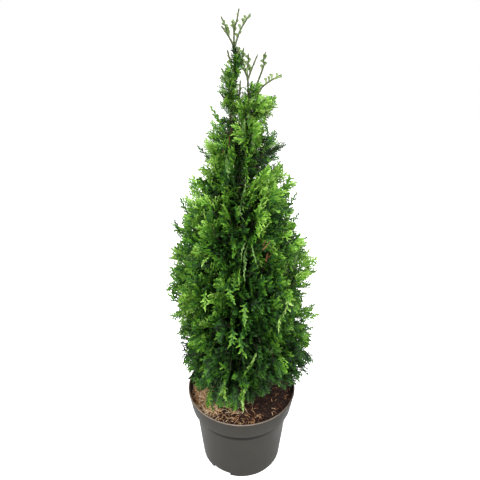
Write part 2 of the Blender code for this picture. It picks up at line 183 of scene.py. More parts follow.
class Grower(Graph):
    """A geometry tree under construction."""

    def __init__(self, name: str, sockets: Sequence[tuple[str, str, object]]) -> None:
        """Starts the tree with its inputs.

        Args:
            name: The tree's name.
            sockets: The name of each input, its kind, and its default value or None.
        """
        super().__init__(bpy.data.node_groups.new(name, "GeometryNodeTree"))
        for socket_name, kind, default in sockets:
            socket = self.tree.interface.new_socket(
                socket_name, in_out="INPUT", socket_type=f"NodeSocket{kind}")
            if default is not None:
                socket.default_value = default
        self.tree.interface.new_socket("Result", in_out="OUTPUT", socket_type="NodeSocketGeometry")
        self.inputs = self.add("NodeGroupInput").outputs

    def attribute(self, name: str, kind: str) -> Socket:
        """A named attribute."""
        return self.add("GeometryNodeInputNamedAttribute", {"Name": name}, data_type=kind).outputs[0]

    def result(self, geometry: Socket) -> NodeTree:
        """Ends the tree in this geometry."""
        self.add("NodeGroupOutput", {0: geometry})
        return self.tree


class Surface(Graph):
    """A material under construction: object coordinates on one side, a Principled shader on the other."""

    def __init__(self, name: str) -> None:
        """Starts the material of that name with its shader and output."""
        self.material = bpy.data.materials.new(name)
        self.material.use_nodes = True
        super().__init__(self.material.node_tree)
        self.shader = self.add("ShaderNodeBsdfPrincipled")
        self.add("ShaderNodeOutputMaterial", {"Surface": self.shader.outputs[0]})

    def place(self, scale: Sequence[float] = (1, 1, 1)) -> Socket:
        """Object coordinates, stretched by a scale."""
        coordinates = self.add("ShaderNodeTexCoord").outputs["Object"]
        return self.add("ShaderNodeMapping", {"Vector": coordinates, "Scale": scale}).outputs[0]

    def height(self) -> Socket:
        """The height of a point."""
        return self.add("ShaderNodeSeparateXYZ", {0: self.place()}).outputs["Z"]

    def finish(self, bump: tuple[Socket, float] | None = None, **inputs: object) -> Material:
        """Sets the shader's inputs.

        Args:
            bump: A height in metres and the strength that it shows with.
            inputs: Values or sockets for the shader, by input name with _ for a space.

        Returns:
            The finished material.
        """
        if bump is not None:
            normal = self.add("ShaderNodeBump", {"Height": bump[0], "Strength": bump[1], "Distance": 1.0})
            inputs["Normal"] = normal.outputs[0]
        self.feed(self.shader, {name.replace("_", " "): value for name, value in inputs.items()})
        return self.material


def plain_material(name: str, colour: Triple, roughness: float, gloss: float = 0.5) -> Material:
    """A material of one colour."""
    return Surface(name).finish(Base_Color=(*colour, 1.0), Roughness=roughness, Specular_IOR_Level=gloss)


def new_object(name: str, data: bpy.types.ID) -> Object:
    """An object in the scene, at the origin, with that mesh, lamp or camera."""
    body = bpy.data.objects.new(name, data)
    bpy.context.scene.collection.objects.link(body)
    return body


def mesh_from(name: str, points: Sequence, faces: Sequence, edges: Sequence = ()) -> Mesh:
    """A mesh of points and faces, or of points and edges."""
    mesh = bpy.data.meshes.new(name)
    mesh.from_pydata([tuple(point) for point in points], edges, faces)
    mesh.update()
    return mesh


def evaluated_mesh(body: Object) -> Mesh:
    """What an object's modifiers make of it, as a plain mesh."""
    bpy.context.view_layer.update()
    graph = bpy.context.evaluated_depsgraph_get()
    return bpy.data.meshes.new_from_object(body.evaluated_get(graph), depsgraph=graph)


def grown(name: str, source: Mesh, tree: NodeTree, values: dict) -> Object:
    """Runs a geometry tree on a mesh.

    Args:
        name: The new piece's name.
        source: The mesh that the tree starts from.
        tree: The geometry tree.
        values: What its named inputs are set to.

    Returns:
        A piece with the result as its plain mesh, and no modifier.
    """
    carrier = new_object(f"{name}_source", source)
    modifier = carrier.modifiers.new("grow", "NODES")
    modifier.node_group = tree
    for item in tree.interface.items_tree:
        if item.name in values and item.in_out == "INPUT":
            modifier[item.identifier] = values[item.name]
    mesh = evaluated_mesh(carrier)
    carrier.modifiers.remove(modifier)
    bpy.data.objects.remove(carrier, do_unlink=True)
    return new_object(name, mesh)


def dress(piece: Object, *materials: Material) -> None:
    """Gives a piece these materials, and no others."""
    piece.data.materials.clear()
    for material in materials:
        piece.data.materials.append(material)


def declare(piece: Object, slot: Slot, *nodes: str) -> None:
    """Says what a finished piece rides on and which nodes it stands for."""
    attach(piece, "root")
    if nodes:
        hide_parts(*nodes)
    LOG.info("%s: %d faces", piece.name, len(piece.data.polygons))


# ------------------------------------------------------ curves and limbs


@dataclass
class Limb:
    """A line with a radius at each of its points."""

    points: list[Vector]
    radii: list[float]

    def at_height(self, height: float) -> Vector:
        """The point of the line at a height, or its nearest end."""
        for low, high in zip(self.points, self.points[1:]):
            if low.z <= height <= high.z:
                return low.lerp(high, (height - low.z) / (high.z - low.z))
        return self.points[0] if height < self.points[0].z else self.points[-1]

    def resampled(self, step: float) -> "Limb":
        """The same line through points that lie a step apart."""
        points, radii = [self.points[0]], [self.radii[0]]
        for k in range(1, len(self.points)):
            parts = max(round((self.points[k] - self.points[k - 1]).length / step), 1)
            for part in range(1, parts + 1):
                points.append(self.points[k - 1].lerp(self.points[k], part / parts))
                radii.append(self.radii[k - 1] + (self.radii[k] - self.radii[k - 1]) * part / parts)
        return Limb(points, radii)

    def smoothed(self, spans: int) -> "Limb":
        """The same line through more points, on a Catmull-Rom curve."""
        ends = [2 * self.points[0] - self.points[1], *self.points, 2 * self.points[-1] - self.points[-2]]
        points, radii = [], []
        for k, (a, b, c, d) in enumerate(zip(ends, ends[1:], ends[2:], ends[3:])):
            for step in range(spans):
                t = step / spans
                bend = (2 * a - 5 * b + 4 * c - d) * t**2 + (3 * b - a - 3 * c + d) * t**3
                points.append(b + ((c - a) * t + bend) / 2)
                radii.append(self.radii[k] * (1 - t) + self.radii[k + 1] * t)
        return Limb([*points, self.points[-1]], [*radii, self.radii[-1]])


def limb_of_node(name: str, ring_gap: float = 0.0018) -> Limb:
    """The middle line of a CAD limb.

    Args:
        name: The limb's node.
        ring_gap: A step along the limb, in metres, that is wide enough to lie between two of its rings.

    Returns:
        The limb from its foot, which is its end nearer the trunk's foot, to its tip.
    """
    corners = [vertex.co.copy() for vertex in frame["nodes"][name].data.vertices]
    slope = 4 if name.startswith("bough") else 0  # a bough's foot is its end nearer the axis
    foot = min(corners, key=lambda co: co.xy.length_squared + (co.z / slope) ** 2 if slope else co.z)
    tip = max(corners, key=lambda co: (co - foot).length)
    along = (tip - foot).normalized()
    corners.sort(key=lambda co: (co - foot).dot(along))
    rings: list[list[Vector]] = [[]]
    for co in corners:
        if rings[-1] and (co - rings[-1][-1]).dot(along) > ring_gap:
            rings.append([])
        rings[-1].append(co)
    points = [sum(ring, Vector()) / len(ring) for ring in rings]
    radii = [sum((co - middle).length for co in ring) / len(ring) for ring, middle in zip(rings, points)]
    return Limb(points, radii)


def bezier(a: Vector, b: Vector, c: Vector, d: Vector, steps: int) -> list[Vector]:
    """Points of a cubic curve with its four control points."""
    line = []
    for k in range(steps + 1):
        t = k / steps
        s = 1 - t
        line.append(a * s**3 + b * (3 * s * s * t) + c * (3 * s * t * t) + d * t**3)
    return line


def heading(azimuth: float, lift: float) -> Vector:
    """The unit vector with that azimuth from +X and that angle above the horizon."""
    level = math.cos(lift)
    return Vector((math.cos(azimuth) * level, math.sin(azimuth) * level, math.sin(lift)))


def interpolate(table: Sequence[tuple[float, ...]], key: float) -> list[float]:
    """The columns of a sorted table at a key between its rows."""
    keys = [row[0] for row in table]
    k = min(max(bisect.bisect(keys, key) - 1, 0), len(table) - 2)
    share = min(max((key - keys[k]) / (keys[k + 1] - keys[k]), 0), 1)
    share = share * share * (3 - 2 * share)
    return [a + (b - a) * share for a, b in zip(table[k][1:], table[k + 1][1:])]


# ---------------------------------------------------------------- sprays


def ring_faces(low: int, sides: int) -> list[tuple[int, ...]]:
    """The faces between two rings of points, where the first ring starts at a point's number."""
    pairs = [(low + side, low + (side + 1) % sides) for side in range(sides)]
    return [(near, after, after + sides, near + sides) for near, after in pairs]


class LeafMesh:
    """Collects the scaly segments that sprays and shoots are made of, with the age of each face."""

    def __init__(self) -> None:
        """Starts with nothing."""
        self.points: list[Vector] = []
        self.faces: list[tuple[int, ...]] = []
        self.ages: list[int] = []

    def strip(self, line: Sequence[Vector], normal: Vector, widths: Sequence[float],
              ages: Sequence[int]) -> None:
        """Adds a flat segment along a line, which ends in a point.

        Args:
            line: Its middle line.
            normal: The way its upper side looks.
            widths: Its width at each point of the line but the last.
            ages: The age of the face after each of these points, from 0 for old to 3 for young; old faces
                take painted shade.
        """
        first = len(self.points)
        for k, width in enumerate(widths):
            along = line[k + 1] - line[max(k - 1, 0)]
            side = along.cross(normal).normalized() * (width / 2)
            self.points += [line[k] - side, line[k] + side]
            if k:
                low = first + 2 * k - 2
                self.faces.append((low, low + 1, low + 3, low + 2))
        last = len(self.points)
        self.points.append(line[-1])
        self.faces.append((last - 2, last - 1, last))
        self.ages += ages

    def rod(self, line: Sequence[Vector], radii: Sequence[float], normal: Vector, flat: float, sides: int,
            age: int) -> None:
        """Adds a closed rod along a line.

        Args:
            line: Its middle line.
            radii: Its radius at each point of the line.
            normal: The way in which it is flattened.
            flat: Its thickness as a share of its width.
            sides: How many sides it has.
            age: The age of its faces.
        """
        first = len(self.points)
        last = len(line) - 1
        for k, (point, radius) in enumerate(zip(line, radii)):
            along = (line[min(k + 1, last)] - line[max(k - 1, 0)]).normalized()
            across = along.cross(normal).normalized()
            other = along.cross(across) * flat
            for side in range(sides):
                turn = 2 * math.pi * side / sides
                self.points.append(point + (across * math.cos(turn) + other * math.sin(turn)) * radius)
            if k:
                self.faces += ring_faces(first + (k - 1) * sides, sides)
        self.faces.append(tuple(first + side for side in reversed(range(sides))))
        self.faces.append(tuple(first + last * sides + side for side in range(sides)))
        self.ages += [age] * (last * sides + 2)

    def to_mesh(self, name: str) -> Mesh:
        """The collected segments as a mesh, with the age as a face attribute."""
        mesh = mesh_from(name, self.points, self.faces)
        mesh.attributes.new("age", "INT", "FACE").data.foreach_set("value", self.ages)
        return mesh


@dataclass(frozen=True)
class SprayHabit:
    """How one kind of spray branches. It grows along +Z in the plane Y = 0."""

    length: float
    half_width: float
    shoots: int
    foot_angle: float  # degrees between the lowest shoots and the axis
    tip_angle: float
    curl: float  # degrees that a shoot turns towards the spray's tip
    lobes: int  # the most lobes on one shoot
    width: float  # of a scaly segment
    bend: float  # degrees that the axis turns over its length
    cup: float  # how far the spray arches out of its plane, as a share of its length
    roll: float  # degrees that the shoots turn round their own lines, more or less

    def outline(self, share: float) -> float:
        """The shoots' length at a share of the axis, as a share of the half width."""
        swell = 0.62 + 0.38 * math.sin(math.pi * min(share / 0.8, 1))
        return swell * (1 - 0.42 * max(share - 0.45, 0) / 0.55)

    def grow(self, seed: int) -> LeafMesh:
        """Grows one spray.

        Args:
            seed: What makes this spray different from others of its kind.

        Returns:
            The spray's segments, with its foot at the origin.
        """
        rng = random.Random(seed)
        leaf = LeafMesh()
        turn = rng.uniform(-0.5, 0.5) * math.radians(self.bend)
        bend = math.radians(self.bend) * rng.choice((-1, 1)) * rng.uniform(0.5, 1.2)
        step = self.length / (self.shoots + 1)
        point = Vector((0, 0, 0))
        axis = [point.copy()]
        side = rng.choice((-1, 1))
        for k in range(1, self.shoots + 1):
            share = k / (self.shoots + 1)
            side = -side
            turn += bend / (self.shoots + 1)
            zigzag = turn - side * math.radians(6)
            point = point + Vector((math.sin(zigzag), 0, math.cos(zigzag))) * step
            axis.append(point.copy())
            reach = self.half_width * self.outline(share) * rng.uniform(0.75, 1.15)
            angle = turn + side * math.radians(
                self.foot_angle + (self.tip_angle - self.foot_angle) * share + rng.uniform(-6, 6))
            self._shoot(leaf, rng, point, angle, side, reach)
        end = Vector((math.sin(turn), 0, math.cos(turn)))
        axis += [point + end * step, point + end * (1.9 * step)]
        count = len(axis) - 1
        widths = [self.width * (0.95 - 0.15 * k / count) * (1.1 if k % 2 else 0.9) for k in range(count)]
        # From foot to tip the axis runs from old to young: paler young growth, and painted shade at its foot
        # and painted light at its tip.
        leaf.strip(axis, FRONT, widths, [int(3.6 * k / count) for k in range(count)])
        for co in leaf.points:
            co.y += self.cup * self.length * (co.z / self.length) ** 2 + 0.6 * self.cup * abs(co.x)
        return leaf

    def _shoot(self, leaf: LeafMesh, rng: random.Random, foot: Vector, angle: float, side: int,
               reach: float) -> None:
        """Adds one side shoot, which curves towards the spray's tip, with its lobes."""
        places = (0, 0.32, 0.62, 0.88, 1) if reach > 0.011 else (0, 0.42, 0.83, 1)
        steps = len(places) - 1
        roll = math.radians(rng.gauss(0, self.roll))
        lift = rng.uniform(-0.2, 0.9)
        # A whole shoot drawn at random is dealt this many tones darker: painted shade.
        worn = rng.choice((0, 0, 0, 1, 1, 2))
        line, turns = [foot], []
        for near, far in zip(places, places[1:]):
            share = (near + far) / 2
            turns.append(angle - side * math.radians(self.curl) * share)
            way = Vector((math.sin(turns[-1]), lift * share, math.cos(turns[-1])))
            line.append(line[-1] + way.normalized() * (reach * (far - near)))
        normal = Quaternion(Vector((math.sin(angle), 0, math.cos(angle))), roll) @ FRONT
        widths = [self.width * (0.75, 1.1, 0.88, 1.05)[k] for k in range(steps)]
        # Along each shoot and its lobes the tone steps from old to young: painted shade at the foot, painted
        # light and young growth at the tip.
        leaf.strip(line, normal, widths, [max((k + 1) * 3 // steps - worn, 0) for k in range(steps)])
        lobes = min(self.lobes, int(reach / 0.0045))
        for k in range(lobes):
            place = (k + 0.8) / (lobes + 0.8)
            below = int(place * steps)
            start = line[below].lerp(line[below + 1], place * steps % 1)
            lobe_turn = turns[below] + (side if k % 2 else -side) * math.radians(rng.uniform(34, 48))
            way = Vector((math.sin(lobe_turn), lift * place + rng.uniform(-0.3, 0.5), math.cos(lobe_turn)))
            way.normalize()
            size = max(reach * rng.uniform(0.42, 0.56) * (1.15 - 0.4 * place), 0.0048)
            points = [start, start + way * (0.76 * size), start + way * size]
            leaf.strip(points, normal, [0.6 * self.width, self.width], [2 - worn, 3 - worn])


class SprayKind(Enum):
    """The kinds of spray, each with its habit and how many patterns are grown of it."""

    FAN = (SprayHabit(0.047, 0.0190, 10, 58, 38, 24, 3, 0.0031, 40, 0.20, 28), 7)
    FEATHER = (SprayHabit(0.047, 0.0125, 9, 50, 34, 20, 2, 0.0031, 48, 0.28, 28), 5)
    RIBBON = (SprayHabit(0.044, 0.0080, 7, 40, 28, 16, 1, 0.0032, 30, 0.24, 30), 3)
    OPEN = (SprayHabit(0.044, 0.0135, 6, 44, 34, 22, 1, 0.0027, 16, 0.05, 10), 3)
    FILL = (SprayHabit(0.050, 0.0240, 8, 58, 36, 20, 0, 0.0070, 20, 0.10, 30), 2)

    @property
    def habit(self) -> SprayHabit:
        """How this kind branches."""
        return self.value[0]

    @property
    def patterns(self) -> int:
        """How many patterns are grown of this kind."""
        return self.value[1]

    @property
    def first_pattern(self) -> int:
        """The number of this kind's first pattern among all patterns."""
        before = list(SprayKind)[: list(SprayKind).index(self)]
        return sum(kind.patterns for kind in before)


FAN, FEATHER, RIBBON, OPEN, FILL = SprayKind


@dataclass(frozen=True)
class LeafColours:
    """The plain finishes of the foliage, one for each tone."""

    roughness: float = 0.50
    gloss: float = 0.16
    colours: tuple[Triple, ...] = (
        (0.004, 0.01, 0.002), (0.008, 0.03, 0.005), (0.016, 0.064, 0.008), (0.042, 0.129, 0.008),
        (0.085, 0.203, 0.016), (0.158, 0.308, 0.036), (0.285, 0.445, 0.12), (0.1, 0.18, 0.05),
        (0.165, 0.06, 0.028),
    )

    def materials(self) -> dict[Tone, Material]:
        """One plain material for each tone."""
        return {tone: plain_material(f"foliage_{tone.name.lower()}", colour, self.roughness, self.gloss)
                for tone, colour in zip(Tone, self.colours)}


@dataclass(frozen=True)
class Placed:
    """One pattern in its place: where its foot is, the ways its Z and Y axes point, and its tone."""

    foot: Vector
    along: Vector
    normal: Vector
    size: float
    pattern: int
    tone: IntEnum

    def upright(self) -> Vector:
        """The way the pattern's flat side really looks: the normal set square to the Z axis."""
        along = self.along.normalized()
        return along.cross(self.normal.cross(along)).normalized()

    def turn(self) -> Quaternion:
        """The rotation that takes the pattern to this place."""
        along = self.along.normalized()
        side = self.normal.cross(along).normalized()
        back = along.cross(side)
        return Matrix((side, back, along)).transposed().to_quaternion()


class Scatterer:
    """Sets small patterns on their points with a geometry tree, and deals out plain finishes by tone."""

    def __init__(self, name: str, patterns: Sequence[Mesh],
                 materials: dict[IntEnum, Material]) -> None:
        """Takes the patterns and the finishes, and builds the tree."""
        self.materials = materials
        self.ends = [max((vertex.co.copy() for vertex in mesh.vertices), key=lambda point: point.length)
                     for mesh in patterns]
        self.patterns = bpy.data.collections.new(f"{name}_patterns")
        for number, mesh in enumerate(patterns):
            self.patterns.objects.link(bpy.data.objects.new(f"{name}_pattern_{number:02d}", mesh))
        self.tree = self._build_tree(name)

    def _build_tree(self, name: str) -> NodeTree:
        """The tree: a pattern on every point, all of it ruffled a little, and a finish by tone."""
        graph = Grower(name, [
            ("Points", "Geometry", None), ("Patterns", "Collection", None), ("Size Spread", "Float", 0.1),
            ("Ruffle", "Float", 0.003), ("Ruffle Scale", "Float", 30.0), ("Seed", "Int", 1),
            *((tone.name.title(), "Material", None) for tone in self.materials)])
        inputs = graph.inputs
        patterns = graph.add("GeometryNodeCollectionInfo",
                             {0: inputs["Patterns"], "Separate Children": True, "Reset Children": True})
        low = graph.math("SUBTRACT", 1.0, inputs["Size Spread"])
        high = graph.math("ADD", 1.0, inputs["Size Spread"])
        vary = graph.add("FunctionNodeRandomValue", data_type="FLOAT")
        for key, socket in (("Min", low), ("Max", high), ("Seed", inputs["Seed"])):
            target = next(s for s in vary.inputs if s.name == key and s.enabled)
            graph.tree.links.new(socket, target)
        varied = next(s for s in vary.outputs if s.enabled)
        placed = graph.add("GeometryNodeInstanceOnPoints", {
            "Points": inputs["Points"], "Instance": patterns.outputs[0], "Pick Instance": True,
            "Instance Index": graph.attribute("pattern", "INT"),
            "Rotation": graph.attribute("turn", "QUATERNION"),
            "Scale": graph.times(graph.attribute("size", "FLOAT"), varied)})
        real = graph.add("GeometryNodeRealizeInstances", {0: placed.outputs[0]})
        wave = graph.add("ShaderNodeTexNoise", {"Scale": inputs["Ruffle Scale"], "Detail": 0.0})
        level = graph.add("ShaderNodeVectorMath", {0: wave.outputs["Color"], 1: (0.5, 0.5, 0.5)},
                          operation="SUBTRACT")
        offset = graph.add("ShaderNodeVectorMath", {0: level.outputs[0], "Scale": inputs["Ruffle"]},
                           operation="SCALE")
        ruffled = graph.add("GeometryNodeSetPosition", {0: real.outputs[0], "Offset": offset.outputs[0]})
        tone_and_age = graph.math("ADD", graph.attribute("tone", "INT"), graph.attribute("age", "INT"))
        geometry = ruffled.outputs[0]
        for tone in self.materials:
            reached = graph.math("GREATER_THAN", tone_and_age, tone - 0.5)
            chosen = graph.add("GeometryNodeSetMaterial", {
                "Geometry": geometry, "Selection": reached, "Material": inputs[tone.name.title()]})
            geometry = chosen.outputs[0]
        return graph.result(geometry)

    def scatter(self, name: str, places: Sequence[Placed], ruffle: float = 0.003) -> Object:
        """Makes one piece of many patterns.

        Args:
            name: The piece's name.
            places: The patterns in their places.
            ruffle: How far the patterns are bent out of shape, in metres.

        Returns:
            The piece, a plain mesh.
        """
        points = mesh_from(f"{name}_points", [place.foot for place in places], [])
        for attribute, kind, values in (
            ("pattern", "INT", [place.pattern for place in places]),
            ("tone", "INT", [int(place.tone) for place in places]),
            ("size", "FLOAT", [place.size for place in places]),
            ("turn", "QUATERNION", [part for place in places for part in place.turn()]),
        ):
            points.attributes.new(attribute, kind, "POINT").data.foreach_set("value", values)
        values = {"Patterns": self.patterns, "Ruffle": ruffle}
        values.update({tone.name.title(): material for tone, material in self.materials.items()})
        return grown(name, points, self.tree, values)

    def clear(self) -> None:
        """Removes the patterns, once every piece is made."""
        for pattern in list(self.patterns.objects):
            bpy.data.objects.remove(pattern, do_unlink=True)
        bpy.data.collections.remove(self.patterns)


def spray_scatterer() -> Scatterer:
    """The scatterer of the foliage, with every pattern of every kind of spray."""
    patterns = [kind.habit.grow(100 + kind.first_pattern + k).to_mesh("spray")
                for kind in SprayKind for k in range(kind.patterns)]
    return Scatterer("spray_grower", patterns, LeafColours().materials())


# ---------------------------------------------------------- pot and soil


@dataclass(frozen=True)
class PlasticFinish:
    """Matt warm grey plastic: worn pale on the lip, painted brighter there on the lamp side as a highlight,
    and painted shade in the corner under the collar.
    """

    base: Triple = (0.0350, 0.0328, 0.0282)
    faded: Triple = (0.0475, 0.0438, 0.0372)
    # the lip's pale band: real wear, and a painted highlight where it is brightest
    worn: Triple = (0.300, 0.235, 0.185)
    # painted shade, nearly black, for the corner under the collar
    painted_shade: Triple = (0.002, 0.0016, 0.0012)
    stain: Triple = (0.180, 0.080, 0.032)
    stain_place: Triple = (-0.0675, -0.0848, 0.1380)
    stain_radius: float = 0.008
    highlight_side: Pair = (-0.75, -0.66)  # the way of the lamp-lit side, where the lip's pale band is painted brightest as a highlight

    def material(self, lip: float, collar_foot: float) -> Material:
        """The pot's plastic.

        Args:
            lip: Height of the lip.
            collar_foot: Height of the collar's lower edge.
        """
        surface = Surface("pot_plastic_matt")
        place = surface.place()
        height = surface.height()
        clouds = surface.noise(place, 14.0, 5.0)
        scuffs = surface.noise(surface.place((1, 1, 0.25)), 160.0, 4.0)
        grain = surface.noise(place, 1400.0, 2.0)
        colour = surface.blend(surface.spread(clouds, 0.35, 0.68), self.base, self.faded)
        colour = surface.blend(surface.spread(scuffs, 0.66, 0.80, 0.0, 0.35), colour, self.faded)
        # Painted shade: the collar's rounded foot and the body just below it turn nearly black, where the
        # collar's shadow falls.
        above = surface.times(surface.spread(height, collar_foot + 0.0042, collar_foot + 0.0016),
                              surface.math("GREATER_THAN", height, collar_foot))
        below = surface.times(surface.spread(height, collar_foot - 0.0170, collar_foot - 0.0115, 0.0, 0.97),
                              surface.math("LESS_THAN", height, collar_foot))
        colour = surface.blend(surface.math("MAXIMUM", above, below), colour, self.painted_shade)
        # The lip's pale band: rubbed wear all round, painted brighter towards the key lamp's side as a
        # highlight.
        toward = surface.vectors("DOT_PRODUCT", place, (*self.highlight_side, 0))
        side = surface.spread(toward, -0.06, 0.11, 0.22, 1.0)
        rubbed = surface.spread(surface.noise(place, 45.0, 4.0), 0.28, 0.62, 0.35, 0.95)
        wear_and_highlight = surface.times(surface.spread(height, lip - 0.0013, lip - 0.0003), surface.times(side, rubbed))
        colour = surface.blend(wear_and_highlight, colour, self.worn)
        spot = surface.spread(surface.vectors("DISTANCE", place, self.stain_place), self.stain_radius, 0.001)
        spot = surface.times(spot, surface.spread(scuffs, 0.40, 0.62))
        colour = surface.blend(surface.times(spot, 0.7), colour, self.stain)
        bump = surface.math("ADD", surface.times(grain, 0.00005), surface.times(scuffs, 0.00006))
        return surface.finish(bump=(bump, 0.6), Base_Color=colour,
                              Roughness=surface.spread(clouds, 0.3, 0.7, 0.50, 0.64), Specular_IOR_Level=0.08)


@dataclass(frozen=True)
class NurseryPot:
    """The pot: a tapering body under a wider collar with a rounded lip, two notches and drain holes."""

    collar_height: float = 0.043
    collar_foot_radius: float = 0.1084
    body_top_radius: float = 0.1003
    base_radius: float = 0.087
    wall: float = 0.002
    base_thickness: float = 0.003
    foot_rounding: float = 0.0015
    edge_rounding: float = 0.0032
    corner_rounding: float = 0.0014
    lip_width: float = 0.0032
    lip_depth: float = 0.0034
    lip_groove: float = 0.0004
    segments: int = 192
    notch_centres: Pair = (-30, 150)  # degrees from the front towards +X
    notch_span: float = 28
    notch_height: float = 0.0075
    notch_depth: float = 0.010
    drain_holes: int = 6
    drain_radius: float = 0.0045
    drain_circle: float = 0.050
    drain_turn: float = 10

    def outer_wall(self, rim: float, height: float) -> list[Pair]:
        """The outside as radius and height, from the foot to the top of the lip."""
        foot, under = height - self.collar_height, height - self.lip_depth
        bead = self.lip_width / 2
        return [
            *arc((self.base_radius - self.foot_rounding, self.foot_rounding), self.foot_rounding, -90, 0, 5),
            (self.base_radius + (self.body_top_radius - self.base_radius) * 0.5, foot * 0.5),
            (self.body_top_radius - 0.0001, foot - self.corner_rounding - 0.001),
            *arc((self.body_top_radius + self.corner_rounding, foot - self.corner_rounding),
                 self.corner_rounding, 180, 90, 4),
            *arc((self.collar_foot_radius - self.edge_rounding, foot + self.edge_rounding),
                 self.edge_rounding, -90, 0, 5),
            (rim - 0.0009, under - 0.0022),
            (rim - 0.0006 - self.lip_groove, under - 0.0008),
            (rim - 0.0006 - self.lip_groove, under - 0.0003),
            (rim - 0.0002, under + 0.0004),
            *arc((rim - bead, height - bead), bead, 0, 180, 12),
        ]

    def inner_wall(self, rim: float, height: float) -> list[Pair]:
        """The inside as radius and height, from the lip to the base plate."""
        foot = height - self.collar_height
        return [
            (rim - self.lip_width, height - self.lip_depth),
            (self.collar_foot_radius - self.wall, foot + self.wall),
            (self.body_top_radius - self.wall, foot + self.wall),
            (self.base_radius - self.wall, self.base_thickness),
        ]

    def rim_and_height(self) -> Pair:
        """The radius of the rim and the pot's height, from its node."""
        low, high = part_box("pot")
        return (high.x - low.x) / 2, high.z

    def notches(self, wall: float) -> list[Mesh]:
        """What fills the notches, or their housings where a wall is given."""
        return [self._notch(math.radians(turn), wall) for turn in self.notch_centres]

    def build(self) -> None:
        rim, height = self.rim_and_height()
        walls = [*self.outer_wall(rim, height), *self.inner_wall(rim, height)]
        profile = [(0, 0), *walls, (0, self.base_thickness)]
        pot = new_object("nursery_pot", turned_mesh("nursery_pot", profile, self.segments))
        apply_boolean(pot, self.notches(self.wall), "UNION")
        apply_boolean(pot, self.notches(0) + [self._drain(k) for k in range(self.drain_holes)], "DIFFERENCE")
        pot.data.shade_smooth()
        pot.data.set_sharp_from_angle(angle=math.radians(38))
        dress(pot, PlasticFinish().material(height, height - self.collar_height))
        declare(pot, Slot.POT, "pot")

    def _notch(self, centre: float, wall: float) -> Mesh:
        """A sector of a ring that fills one notch, or its housing."""
        inner = self.base_radius - self.notch_depth - wall
        outer = self.base_radius + (-self.wall / 2 if wall else 0.01)
        half = math.radians(self.notch_span) / 2 + wall / self.base_radius
        low, high = self.base_thickness / 2 if wall else -0.01, self.notch_height + wall
        turns = [centre - half + 2 * half * k / 8 for k in range(9)]
        corners = [(outer, turn) for turn in turns] + [(inner, turn) for turn in reversed(turns)]
        return prism_mesh("notch", [(r * math.sin(a), -r * math.cos(a)) for r, a in corners], low, high)

    def _drain(self, number: int) -> Mesh:
        """The cutter of one drain hole."""
        turn = math.radians(self.drain_turn) + 2 * math.pi * number / self.drain_holes
        x, y = self.drain_circle * math.cos(turn), self.drain_circle * math.sin(turn)
        ring = [(x + r, y + s) for r, s in arc((0, 0), self.drain_radius, 0, 345, 23)]
        return prism_mesh("drain", ring, -0.01, 0.01)


def arc(centre: Pair, radius: float, start: float, end: float, steps: int) -> list:
    """Points of an arc in a plane, from one angle in degrees to another."""
    turns = [math.radians(start + (end - start) * k / steps) for k in range(steps + 1)]
    return [(centre[0] + radius * math.cos(turn), centre[1] + radius * math.sin(turn)) for turn in turns]


def turned_mesh(name: str, profile: Sequence[Pair], sides: int) -> Mesh:
    """A closed body turned about the Z axis, from a profile that starts and ends on it."""
    points = [Vector((0, 0, profile[0][1]))]
    for radius, height in profile[1:-1]:
        points += [Vector((radius * math.cos(turn), radius * math.sin(turn), height))
                   for turn in (2 * math.pi * k / sides for k in range(sides))]
    points.append(Vector((0, 0, profile[-1][1])))
    faces = []
    for side in range(sides):
        after = (side + 1) % sides
        faces.append((0, 1 + after, 1 + side))
        for ring in range(len(profile) - 3):
            low = 1 + ring * sides
            faces.append((low + side, low + after, low + sides + after, low + sides + side))
        top = 1 + (len(profile) - 3) * sides
        faces.append((top + side, top + after, len(points) - 1))
    return mesh_from(name, points, faces)


def prism_mesh(name: str, outline: Sequence[Pair], low: float, high: float) -> Mesh:
    """A closed upright prism over an outline."""
    count = len(outline)
    points = [(*corner, height) for height in (low, high) for corner in outline]
    faces = [tuple(reversed(range(count))), tuple(range(count, 2 * count))]
    faces += [(k, (k + 1) % count, count + (k + 1) % count, count + k) for k in range(count)]
    mesh = mesh_from(name, points, faces)
    body = bmesh.new()
    body.from_mesh(mesh)
    bmesh.ops.recalc_face_normals(body, faces=body.faces)
    body.to_mesh(mesh)
    body.free()
    return mesh


def apply_boolean(body: Object, others: Sequence[Mesh], operation: str) -> None:
    """Joins the meshes to a body, or cuts them out of it, one after another."""
    for mesh in others:
        other = new_object("cutter", mesh)
        modifier = body.modifiers.new("cut", "BOOLEAN")
        modifier.operation = operation
        modifier.solver = "EXACT"
        modifier.object = other
        result = evaluated_mesh(body)
        body.modifiers.remove(modifier)
        body.data = result
        bpy.data.objects.remove(other, do_unlink=True)


class Litter(IntEnum):
    """The plain colours of the chips and fibres that lie on the soil."""

    PEAT = 0
    CHIP = 1
    RUST = 2
    TAN = 3
    COIR = 4
    STRAW = 5


